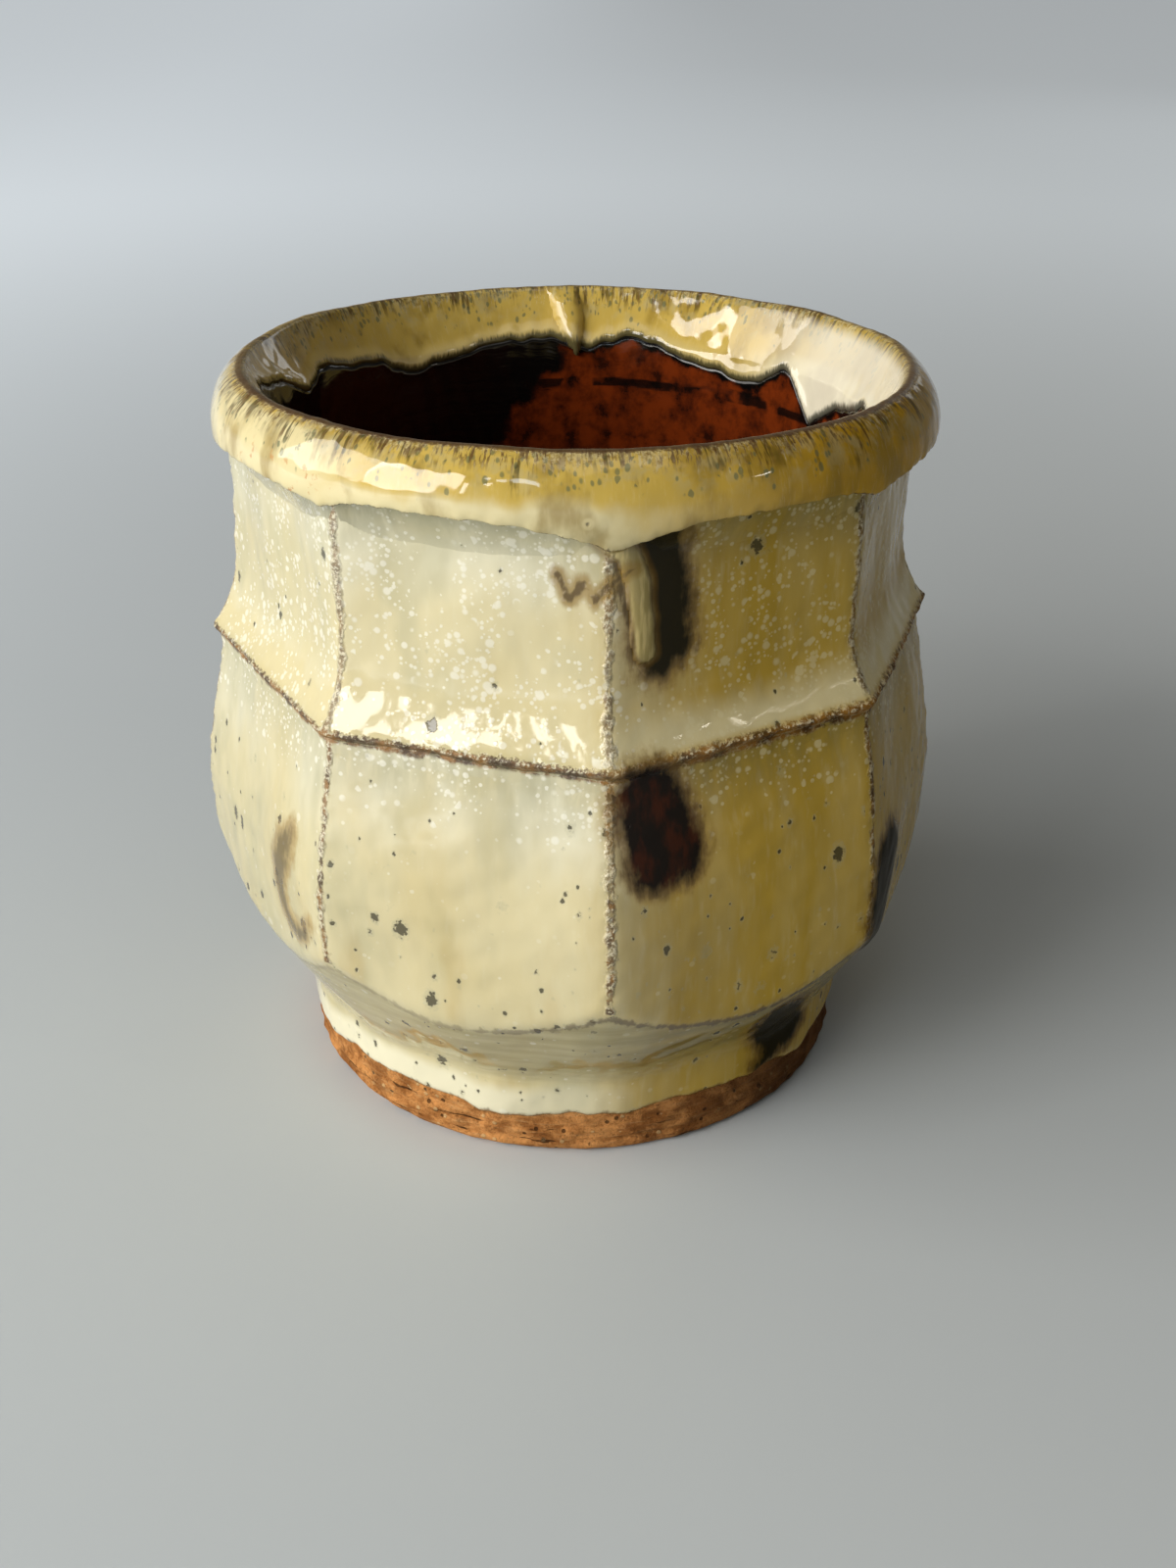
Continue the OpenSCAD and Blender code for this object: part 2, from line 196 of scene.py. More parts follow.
def join_facets(radii, heights, soft):
    """Joins the facets with softened corners. Also gives the distance from the nearest corner."""
    order = np.sort(radii, axis=0)
    weight = np.exp(-(radii - order[0]) / soft)
    total = weight.sum(axis=0)
    z = (weight * heights).sum(axis=0) / total
    corner = (order[1] - order[0]) / (2 * math.tan(HALF_ANGLE))
    r = order[0] - soft * np.log(total) + FACET_BULGE * (1 - np.exp(-corner / BULGE_WIDTH))
    return r, z, corner


def reach(radius, offset):
    """How far an arc of a radius reaches from its centre, at an offset to the side."""
    return np.sqrt(np.maximum(radius**2 - offset**2, 0))


def arc_centre(a, b, r):
    """Centre of the arc of radius r from a to b, on the left of a-b."""
    a = np.array(a)
    b = np.array(b)
    chord = b - a
    length = math.hypot(*chord)
    lift = math.sqrt(r * r - length * length / 4)
    return (a + b) / 2 + lift * np.array([-chord[1], chord[0]]) / length


def shoulder_centre(k):
    """Centre of the arc of facet k's shoulder, from the belly up to the step."""
    end = (RIDGE_D - SHOULDER_END_IN, facet_waist[k] - SHOULDER_END_DOWN)
    return arc_centre(SHOULDER_FOOT, end, SHOULDER_R - GLAZE_T)


def belly_dist(k, height):
    """Distance of lower facet k from the axis, at a height."""
    cx, cz = shoulder_centre(k)
    shoulder = cx + reach(SHOULDER_R, height - cz)
    low = BELLY_CENTRE_D + reach(BELLY_R, height - BELLY_H)
    return np.where(height > BELLY_H + SHOULDER_FROM, shoulder, np.minimum(low, shoulder))


def step_line(k, dist):
    """Height of the slanting step under the ridge of facet k."""
    return facet_waist[k] + (dist - RIDGE_D) * STEP_SLOPE - STEP_SHIFT


def cove_dist(k, height):
    """Distance of the cove of facet k from the axis, at a height."""
    top = facet_waist[k] + COVE_TOP_H - WAIST_H
    return COVE_CENTRE_D - reach(COVE_R, height - top)


def meet(dist_at, k, low, high):
    """Distance at which the step line of facet k meets a profile."""
    dist = np.linspace(low, high, MEET_TRIES)
    miss = np.abs(dist_at(k, step_line(k, dist)) - dist)
    return dist[np.argmin(miss)]


def under_height(r):
    """Height of the round underside of the belly, at a radius."""
    return UNDER_H + (r - FOOT_R) * math.tan(UNDER_ANGLE)


def eased(count, power=1.0):
    """A column of shares from 0 to 1, without the 0, crowded towards the end by a power over 1."""
    share = np.arange(1, count + 1)[:, None] / count
    return 1 - (1 - share) ** power


# Heights at which the facets of the belly end at its round underside
scan = np.linspace(17, 29, 241)[:, None]
scan_r, scan_z, _ = join_facets(*np.moveaxis(
    np.array([facet_points(k, belly_dist(k, scan), scan)[:2] for k in range(FACETS)]), 1, 0), BELLY_SOFT)
above = scan_z > under_height(scan_r)
belly_start = scan[np.argmax(above, axis=0), 0]

rows_r = []
rows_z = []
rows_corner = []
marks = {}


def add_rows(name, r, z, corner=None):
    """Adds rows to the skin of the cup and keeps the number of the last one."""
    shape = np.broadcast_shapes(np.shape(r), np.shape(z), (1, COLS))
    rows_r.append(np.broadcast_to(r, shape))
    rows_z.append(np.broadcast_to(z, shape))
    rows_corner.append(np.broadcast_to(FAR if corner is None else corner, shape))
    marks[name] = sum(len(r) for r in rows_r) - 1


# Foot wall from the wavy glaze line to the neck
glaze_line = GLAZE_LINE_H + ripples(az_rad, 0, (0.42, 11, 6), (0.24, 12, 26), (0.1, 13, 70))
share = np.linspace(0, 1, FOOT_ROWS)[:, None]
add_rows("foot", FOOT_R, glaze_line + (NECK_CENTRE[1] - glaze_line) * share)

# The cove over the foot wall, then the underside out to the edge of the facets
turn = np.linspace(math.pi, math.pi / 2 + UNDER_ANGLE, NECK_ROWS + 1)[1:, None]
neck_r = NECK_CENTRE[0] + NECK_ROUND * np.cos(turn)
add_rows("neck", neck_r, NECK_CENTRE[1] + NECK_ROUND * np.sin(turn))
edge_of_belly = np.array([np.interp(belly_start[c], scan[:, 0], scan_r[:, c]) for c in range(COLS)])
share = eased(SHELF_ROWS)
under_r = neck_r[-1, 0] + (edge_of_belly - neck_r[-1, 0]) * share
add_rows("shelf", under_r, under_height(under_r))

# Belly, step, cove, flat and fillet of the facets
ledge_lift = at_azimuths([(-83, 0.6), (-60, 0), (-37, 1.6), (-20, 0.3), (5, 0), (17, 0.5), (33, 0.2),
                          (48.5, 1.0), (70, 0), (91, 0.8), (138, 0.4), (185, 1.1), (231, 0.5)])
facet_r = []
facet_z = []
for k in range(FACETS):
    step_d = meet(belly_dist, k, RIDGE_D - 3, RIDGE_D + 1)
    step_z = step_line(k, step_d)
    tip_d = meet(cove_dist, k, RIDGE_D - 1, RIDGE_D + 3)
    tip_z = step_line(k, tip_d)
    flat_z = facet_waist[k] + COVE_TOP_H - WAIST_H - reach(COVE_R, COVE_CENTRE_D - FACE_D)
    share = (np.arange(BELLY_ROWS) / (BELLY_ROWS - 1))[:, None]
    height = belly_start + (step_z - belly_start) * share
    profile = [(belly_dist(k, height), height)]
    share = eased(STEP_ROWS)
    profile.append((step_d + (tip_d - step_d) * share, step_z + (tip_z - step_z) * share))
    height = tip_z + (flat_z - tip_z) * eased(COVE_ROWS) ** COVE_CROWDING
    profile.append((np.minimum(cove_dist(k, height), tip_d), height))
    along = facet_points(k, FACE_D, COVE_TOP_H)[2]
    arch = ARCH_CENTRE_H + reach(ARCH_R, along) + ledge_lift
    arch = np.minimum(arch, FILLET_CENTRE[1] + FILLET_R - ARCH_CLEAR)
    height = flat_z + (arch - flat_z) * eased(FLAT_ROWS, FLAT_CROWDING)
    fillet = reach(FILLET_R, np.maximum(height - FILLET_CENTRE[1], 0))
    profile.append((np.maximum(FILLET_CENTRE[0] - fillet, FACE_D), height))
    parts = [facet_points(k, dist, height) for dist, height in profile]
    facet_r.append(np.concatenate([np.broadcast_to(p[0], p[1].shape) for p in parts]))
    facet_z.append(np.concatenate([p[1] for p in parts]))
softness = np.concatenate([np.full(BELLY_ROWS - BELLY_BLEND_ROWS, BELLY_SOFT),
                           np.linspace(BELLY_SOFT, RIDGE_SOFT, BELLY_BLEND_ROWS),
                           np.full(STEP_ROWS + COVE_BLEND_ROWS, RIDGE_SOFT),
                           np.linspace(RIDGE_SOFT, FACE_SOFT, COVE_ROWS - COVE_BLEND_ROWS),
                           np.full(FLAT_ROWS, FACE_SOFT)])
skin_r, skin_z, skin_corner = join_facets(np.array(facet_r), np.array(facet_z), softness[:, None])
first = 0
for name, count in [("belly", BELLY_ROWS), ("step", STEP_ROWS), ("cove", COVE_ROWS), ("flat", FLAT_ROWS)]:
    part = slice(first, first + count)
    add_rows(name, skin_r[part], skin_z[part], skin_corner[part])
    first += count


def collar_radius(height):
    """Radius of the rolled collar at a height."""
    roll = COLLAR_ROLL_CENTRE[0] + reach(COLLAR_ROLL_R, height - COLLAR_ROLL_CENTRE[1])
    return np.maximum(COLLAR_BAND_R, roll)


# The ledge out to the collar's edge, then the roll up to the crest
ledge_r = skin_r[-1]
ledge_z = skin_z[-1]
shifts = np.arange(-LEDGE_BLUR, LEDGE_BLUR + 1)
spread = bell(shifts, LEDGE_BLUR_WIDTH)
near = np.array([np.roll(ledge_z, shift) for shift in shifts])
edge_z = (near * spread[:, None]).sum(axis=0) / spread.sum() - EDGE_DROOP
edge_r = collar_radius(edge_z) - EDGE_TUCK
share = eased(LEDGE_ROWS)
add_rows("ledge", ledge_r + (edge_r - ledge_r) * share, ledge_z + (edge_z - ledge_z) * share**2)
low_turn = np.arcsin((edge_z - COLLAR_ROLL_CENTRE[1]) / COLLAR_ROLL_R)
top_turn = math.asin((CUP_H - COLLAR_ROLL_CENTRE[1]) / COLLAR_ROLL_R)
turn = low_turn + (top_turn - low_turn) * eased(COLLAR_ROWS)
roll_z = COLLAR_ROLL_CENTRE[1] + COLLAR_ROLL_R * np.sin(turn)
roll_r = np.where(turn < 0, collar_radius(roll_z), COLLAR_ROLL_CENTRE[0] + COLLAR_ROLL_R * np.cos(turn))
add_rows("collar", roll_r, roll_z)
add_rows("crest", np.linspace(CREST_R, MOUTH_R, CREST_ROWS + 1)[1:, None], CUP_H)


def well_radius(height):
    """Radius of the well at a height below the throat."""
    slope = (THROAT[0] - WALL[0]) / (THROAT[1] - WALL[1])
    wall = WALL[0] + (height - WALL[1]) * slope
    belly = HOLLOW_CENTRE[0] + reach(HOLLOW_R, height - HOLLOW_CENTRE[1])
    bowl = FLOOR_ROUND_CENTRE[0] + reach(FLOOR_ROUND_R, height - FLOOR_ROUND_CENTRE[1])
    return np.where(height > FLOOR_ROUND_CENTRE[1], np.maximum(wall, belly), bowl)


def inner_radius(height):
    """Radius of the inside of the glazed cup at a height, up to the mouth."""
    slope = (MOUTH_R - THROAT[0]) / (CUP_H - THROAT[1])
    lip = THROAT[0] + (height - THROAT[1]) * slope
    return np.where(height > THROAT[1], lip, well_radius(height))


# Inside: down to the ragged end of the amber glaze, then to the floor
ragged = CUP_H * at_azimuths([(180, 0.925), (-165, 0.935), (-142, 0.905), (-133, 0.93), (-124, 0.93),
                              (-107, 0.93), (-81, 0.975), (-60, 0.93), (-30, 0.9), (0, 0.91),
                              (40, 0.9), (90, 0.92), (104, 0.91), (112, 0.875), (118, 0.86), (122, 0.885),
                              (126, 0.912), (129, 0.915), (132, 0.898), (137, 0.886), (141, 0.885),
                              (147, 0.905), (160, 0.925)])
ragged = ragged + ripples(az_rad, 0, (0.4, 21, 24), (0.12, 22, 90))
height = CUP_H + (ragged - CUP_H) * eased(LIP_ROWS)
add_rows("ragged", inner_radius(height), height)
height = ragged + (FLOOR_H + BOWL_DEPTH - ragged) * eased(WALL_ROWS)
add_rows("wall", inner_radius(height), height)
bowl_r = well_radius(np.array(FLOOR_H + BOWL_DEPTH))
inward = eased(FLOOR_ROWS)
add_rows("well_floor", bowl_r * (1 - BOWL_END * inward), FLOOR_H + BOWL_DEPTH * (1 - inward) ** 3)

skin_r = np.concatenate(rows_r)
skin_z = np.concatenate(rows_z)
corner = np.concatenate(rows_corner)
ROWS = len(skin_r)


def smooth_rows(first, last, times):
    """Rounds the skin between two rows by averaging each row with its neighbours."""
    for _ in range(times):
        for grid in (skin_r, skin_z):
            around = grid[first - 1:last - 1] + grid[first + 1:last + 1]
            grid[first:last] = (around + 2 * grid[first:last]) / 4


# Each edge of the skin is rounded over some rows below it and above it, a number of times
for name, below, over, times in (("foot", 3, 6, 8), ("shelf", 3, 5, 8), ("belly", 3, 3, 3), ("step", 2, 4, 3),
                                 ("cove", 6, 8, 12), ("flat", 3, 3, 4), ("ledge", 2, 5, 4),
                                 ("collar", 4, CREST_ROWS + 5, 8), ("ragged", 4, 4, 4)):
    smooth_rows(marks[name] - below, marks[name] + over, times)
smooth_rows(marks["ragged"] + 2, ROWS - 2, 6)


def row_normals(r, z):
    """Outward normal of each skin point in its own upright plane."""
    dr = np.gradient(r, axis=0)
    dz = np.gradient(z, axis=0)
    length = np.hypot(dr, dz) + 1e-9
    return dz / length, -dr / length


path = np.concatenate([np.zeros((1, COLS)),
                       np.cumsum(np.hypot(np.diff(skin_r, axis=0), np.diff(skin_z, axis=0)), axis=0)])


def up_from(name):
    """Distance along the skin from a named row of it, up the outside and down the inside."""
    return path - path[marks[name]]


# Unevenness of hand work in the surface, grit along three edges (distance, width, size, seed, turns,
# waves per mm), and a bead along the ragged end of the rim's glaze
BEAD_LIFT = 0.28
BEAD_WIDTH = 0.9
BEAD_BACK = 0.9
SKIN_SUNK = 0.12
LIP_CALM = 0.45
CREST_WAVE = 0.08
CREST_WAVE_MOST = 0.6
CREST_WAVE_FROM = 74.0
EDGE_GRIT = ((up_from("step"), 0.7, 0.07, 33, 200, 0.6), (corner, 0.8, 0.05, 34, 120, 0.9),
             (up_from("ledge"), 0.9, 0.06, 35, 160, 0.4))
normal_r, normal_z = row_normals(skin_r, skin_z)
turn = np.broadcast_to(az_rad, skin_r.shape)
lip_calm = np.where(up_from("ledge") > -3, LIP_CALM, 1.0)
relief = 0.1 * lip_calm * ripple(turn, path, 31, turns=16, per_mm=0.05)
relief += 0.02 * ripple(turn, path, 32, turns=90, per_mm=0.3)
for edge_at, width, size, seed, turns, per_mm in EDGE_GRIT:
    relief += size * bell(edge_at, width) * ripple(turn, path, seed, turns, per_mm)
relief += BEAD_LIFT * bell(up_from("ragged") + BEAD_BACK, BEAD_WIDTH) - SKIN_SUNK
skin_r = skin_r + normal_r * relief
skin_z = np.minimum(skin_z + normal_z * relief, CUP_H)
crest_wave = CREST_WAVE * (1 + ripple(az_rad, 0, 36, turns=7))
near_crest = np.clip((skin_z - CREST_WAVE_FROM) / (CUP_H - CREST_WAVE_FROM), 0, 1) ** 2
skin_z = skin_z - near_crest * np.clip(crest_wave, 0, CREST_WAVE_MOST)
normal_r, normal_z = row_normals(skin_r, skin_z)


def off_skin(rows, out):
    """Radii and heights of rows of the skin, moved outward."""
    return skin_r[rows] + normal_r[rows] * out, skin_z[rows] + normal_z[rows] * out


def to_xyz(r, z):
    """Points in space of radii and heights at the columns' azimuths."""
    return np.stack([r * np.sin(az_rad), -r * np.cos(az_rad), z * np.ones_like(r)], axis=-1)


def ring_faces(rows, close_rows=False):
    """Faces of a grid that closes round the cup, its normals outward where rows run upward."""
    row = np.arange(rows if close_rows else rows - 1)[:, None] * COLS
    col = np.arange(COLS)[None, :]
    up = (row + COLS) % (rows * COLS)
    side = (col + 1) % COLS
    return np.stack([row + col, row + side, up + side, up + col], axis=-1).reshape(-1, 4)


def fan_faces(ring, centre, inward):
    """Triangles between a ring of points, from number ring on, and a centre point."""
    fan = [(ring + c, ring + (c + 1) % COLS, centre) for c in range(COLS)]
    return [(b, a, c) if inward else (a, b, c) for a, b, c in fan]


def place_in_scene(name, data):
    """A new object of the scene that shows a mesh, a light or a camera."""
    obj = bpy.data.objects.new(name, data)
    bpy.context.scene.collection.objects.link(obj)
    return obj


def make_piece(name, points, faces, values, node, material):
    """Makes a mesh piece in metres, with its named distances, and ties it to the frame."""
    mesh = bpy.data.meshes.new(name)
    mesh.from_pydata((points.reshape(-1, 3) * MM).tolist(), [], [list(f) for f in faces])
    mesh.polygons.foreach_set("use_smooth", np.ones(len(mesh.polygons), dtype=bool))
    for key, value in values.items():
        layer = mesh.attributes.new(key, "FLOAT", "POINT")
        layer.data.foreach_set("value", np.asarray(value, dtype=np.float32).ravel())
    mesh.update()
    mesh.materials.append(material)
    obj = place_in_scene(name, mesh)
    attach(obj, "root")
    if node:
        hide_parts(node)


def rounded(points):
    """A closed outline with its corners cut off twice, so that it turns smoothly."""
    points = np.array(points, dtype=float)
    for _ in range(2):
        after = np.roll(points, -1, axis=0)
        points = np.stack([0.75 * points + 0.25 * after, 0.25 * points + 0.75 * after], axis=1).reshape(-1, 2)
    return points


def segment_distance(points, y, z, closed):
    """Least distance of (y, z) from a chain of points."""
    ends = np.roll(points, -1, axis=0) if closed else points[1:]
    best = np.full(np.shape(y), FAR)
    for a, b in zip(points, ends):
        step = b - a
        share = np.clip(((y - a[0]) * step[0] + (z - a[1]) * step[1]) / (step @ step), 0, 1)
        best = np.minimum(best, np.hypot(y - a[0] - share * step[0], z - a[1] - share * step[1]))
    return best


def outline_distance(points, y, z):
    """Distance of (y, z) from a rounded outline, below zero inside it."""
    points = rounded(points)
    inside = np.zeros(np.shape(y), dtype=bool)
    for a, b in zip(points, np.roll(points, -1, axis=0)):
        crosses = (a[1] > z) != (b[1] > z)
        rise = b[1] - a[1] if b[1] != a[1] else 1e-9
        inside ^= crosses & (y < a[0] + (z - a[1]) / rise * (b[0] - a[0]))
    best = segment_distance(points, y, z, True)
    return np.where(inside, -best, best)


def on_facet(mid):
    """Place of every skin point along the facet whose middle has that azimuth."""
    delta = np.radians(wrap(azimuth - mid))
    return np.where(np.abs(delta) < 1, skin_r * np.sin(delta), FAR)


# Brush marks: azimuth of the facet's middle, then an outline of (place along it, height)
LEFT_MID, CENTRE_MID, FRONT_MID, SIDE_MID = mid_az[:4]
UPPER_DAUB = (FRONT_MID, [(-11.6, 78), (-7.4, 78), (-6.3, 71), (-5.5, 68), (-5.7, 65.7), (-4.9, 63.6),
                          (-5.4, 61.6), (-7, 60.6), (-8, 59.5), (-9.9, 59.7), (-11.1, 61.2), (-11.5, 64),
                          (-11.6, 69)])
LOWER_DAUB = (FRONT_MID, [(-13.6, 52), (-8.8, 52), (-7.9, 50), (-6.8, 47.6), (-5.6, 45.2), (-5.4, 41.5),
                          (-6.6, 39.4), (-8.3, 39.7), (-9.7, 38.9), (-12.2, 39.3), (-13.3, 41.5),
                          (-14.2, 43.6), (-14.4, 46.3), (-14, 50)])
SIDE_DAUB = (SIDE_MID, [(-14.5, 36), (-8, 37.5), (-3.5, 33), (-4, 27), (-8, 21.8), (-12.5, 21), (-15.5, 27)])
LEFT_DAUB = (LEFT_MID, [(5.9, 38.6), (10.4, 40.8), (11, 37.7), (8.6, 32.8), (7.6, 29.4), (10.6, 27.9),
                        (13.8, 31.8), (14.8, 30), (12.6, 26.4), (8.8, 25), (5.2, 26.2), (3.9, 29.8),
                        (4.1, 34.8)])
FOOT_DAUB = (51, [(-10.9, 15.8), (-10.7, 18.8), (-9.3, 19.6), (-4.7, 17.5), (-0.5, 13.5), (2.6, 9.4),
                  (0.5, 8.2), (-2.3, 7.2), (-4.3, 6.7), (-6.6, 6.5), (-7.6, 7.2), (-5.9, 8.3), (-7.3, 10.1)])

# Strokes: azimuth of the facet's middle, their line as (place along it, height), and half their width
SCRIBBLE = (CENTRE_MID, [(8.3, 70.4), (9.4, 67.9), (10.8, 69.7), (11.7, 68), (13.1, 69.6), (14.9, 71.1)],
            0.42)
RUN = (FRONT_MID, [(-16.4, 76.4), (-13.9, 74.3), (-12.1, 72.4), (-11.1, 70), (-10.6, 66), (-10.2, 62.6)],
       1.3)
RUN_LINE = (FRONT_MID, [(-13.4, 72), (-12.6, 68.5), (-11.7, 65), (-11.3, 62.2), (-9.8, 60.9)], 0.12)


row_number = np.arange(ROWS)[:, None]
outside = row_number <= marks["collar"]


def mark_distance(mark):
    """Distance of the outside of the skin from a brush mark's outline."""
    return np.where(outside, outline_distance(mark[1], on_facet(mark[0]), skin_z), FAR)


def stroke_distance(mark):
    """Distance of the outside of the skin from the edge of a stroke of even width."""
    middle = segment_distance(np.array(mark[1]), on_facet(mark[0]), skin_z, False)
    return np.where(outside, middle - mark[2], FAR)


dark_daub = np.minimum.reduce([mark_distance(m) for m in (UPPER_DAUB, LOWER_DAUB, SIDE_DAUB, FOOT_DAUB)])
pale_daub = mark_distance(LEFT_DAUB)
run = stroke_distance(RUN)

# The thick drop inside the back of the lip: a bead under the crest with a thin tail
DROP_AZ = 183.0
DROP_TOP = 81.8
DROP_LENGTH = 7.6
DROP_HALF_W = 1.9
DROP_LEAN = 0.25
DROP_TAIL_FROM = 0.45
DROP_TAIL_END = 1.07
drop_along = np.radians(wrap(azimuth - DROP_AZ)) * MOUTH_R + DROP_LEAN * (DROP_TOP - skin_z)
drop_down = (DROP_TOP - skin_z) / DROP_LENGTH
drop_tail = (DROP_TAIL_END - drop_down) / (DROP_TAIL_END - DROP_TAIL_FROM)
drop_w = DROP_HALF_W * np.clip(drop_tail, 0.05, 1) ** 0.7
inside_rows = (row_number > marks["crest"] - 3) & (drop_down < 1.05)
drop = np.where(inside_rows, np.abs(drop_along) - drop_w, FAR)

values = {
    "corner": corner,
    "ridge": up_from("step"),
    "belly_up": up_from("shelf"),
    "ledge": -up_from("flat"),
    "collar_up": up_from("ledge"),
    "crest_up": up_from("collar"),
    "ragged_down": up_from("ragged"),
    "line_up": path,
    "daub": dark_daub,
    "pale_daub": pale_daub,
    "run": run,
    "run_line": stroke_distance(RUN_LINE),
    "scribble": stroke_distance(SCRIBBLE),
}


def shell(name, first, last, node, material, floor=False):
    """A closed piece between the skin and a coarser copy of it, a little further in."""
    inner = np.append(np.arange(first, last, INNER_STEP), last)[::-1]
    rows = np.append(np.arange(first, last + 1), inner)
    cut = last - first
    depth = np.where(np.arange(len(rows)) > cut, SHELL_T, 0.0)[:, None]
    points = to_xyz(*off_skin(rows, -depth))
    faces = ring_faces(len(rows), close_rows=True)
    own = {key: value[rows] for key, value in values.items()}
    if floor:
        count = len(rows) * COLS
        faces = np.delete(faces, np.arange(cut * COLS, (cut + 1) * COLS), axis=0)
        faces = [*faces.tolist(), *fan_faces(cut * COLS, count, False),
                 *fan_faces((cut + 1) * COLS, count + 1, True)]
        middles = [[0, 0, points[row, :, 2].mean()] for row in (cut, cut + 1)]
        points = np.concatenate([points.reshape(-1, 3), middles])
        own = {key: np.append(value, [value[cut, 0], value[cut + 1, 0]]) for key, value in own.items()}
    make_piece(name, points, faces, own, node, material)


def patch(name, lift, keep, depth, node, material):
    """A thin piece over the part of the skin where keep holds, lift above it and depth thick."""
    quads = ring_faces(ROWS)
    quads = quads[keep.ravel()[quads].all(axis=1)]
    used, local = np.unique(quads, return_inverse=True)
    local = local.reshape(-1, 4)
    count = len(used)
    layers = [to_xyz(*off_skin(slice(None), out)).reshape(-1, 3)[used] for out in (lift, -depth)]
    edges = np.stack([local, np.roll(local, -1, axis=1)], axis=-1).reshape(-1, 2)
    known = {(int(a), int(b)) for a, b in edges}
    sides = [[b, a, a + count, b + count] for a, b in known if (b, a) not in known]
    faces = [*local.tolist(), *(local[:, ::-1] + count).tolist(), *sides]
    own = {key: np.tile(value.ravel()[used], 2) for key, value in values.items()}
    make_piece(name, np.concatenate(layers), faces, own, node, material)


def srgb(red, green, blue):
    """A colour in the renderer's linear values, from its ordinary 0-255 values."""
    linear = []
    for part in (red, green, blue):
        share = part / 255
        linear.append(share / 12.92 if share < 0.04045 else ((share + 0.055) / 1.055) ** 2.4)
    return (*linear, 1.0)


class Value:
    """The output of a shader node, which can be worked with like a number."""

    def __init__(self, shader, socket):
        self.shader = shader
        self.socket = socket

    def __add__(self, other):
        return self.shader.math("ADD", self, other)

    def __sub__(self, other):
        return self.shader.math("SUBTRACT", self, other)

    def __rsub__(self, other):
        return self.shader.math("SUBTRACT", other, self)

    def __mul__(self, other):
        return self.shader.math("MULTIPLY", self, other)

    def __abs__(self):
        return self.shader.math("ABSOLUTE", self)


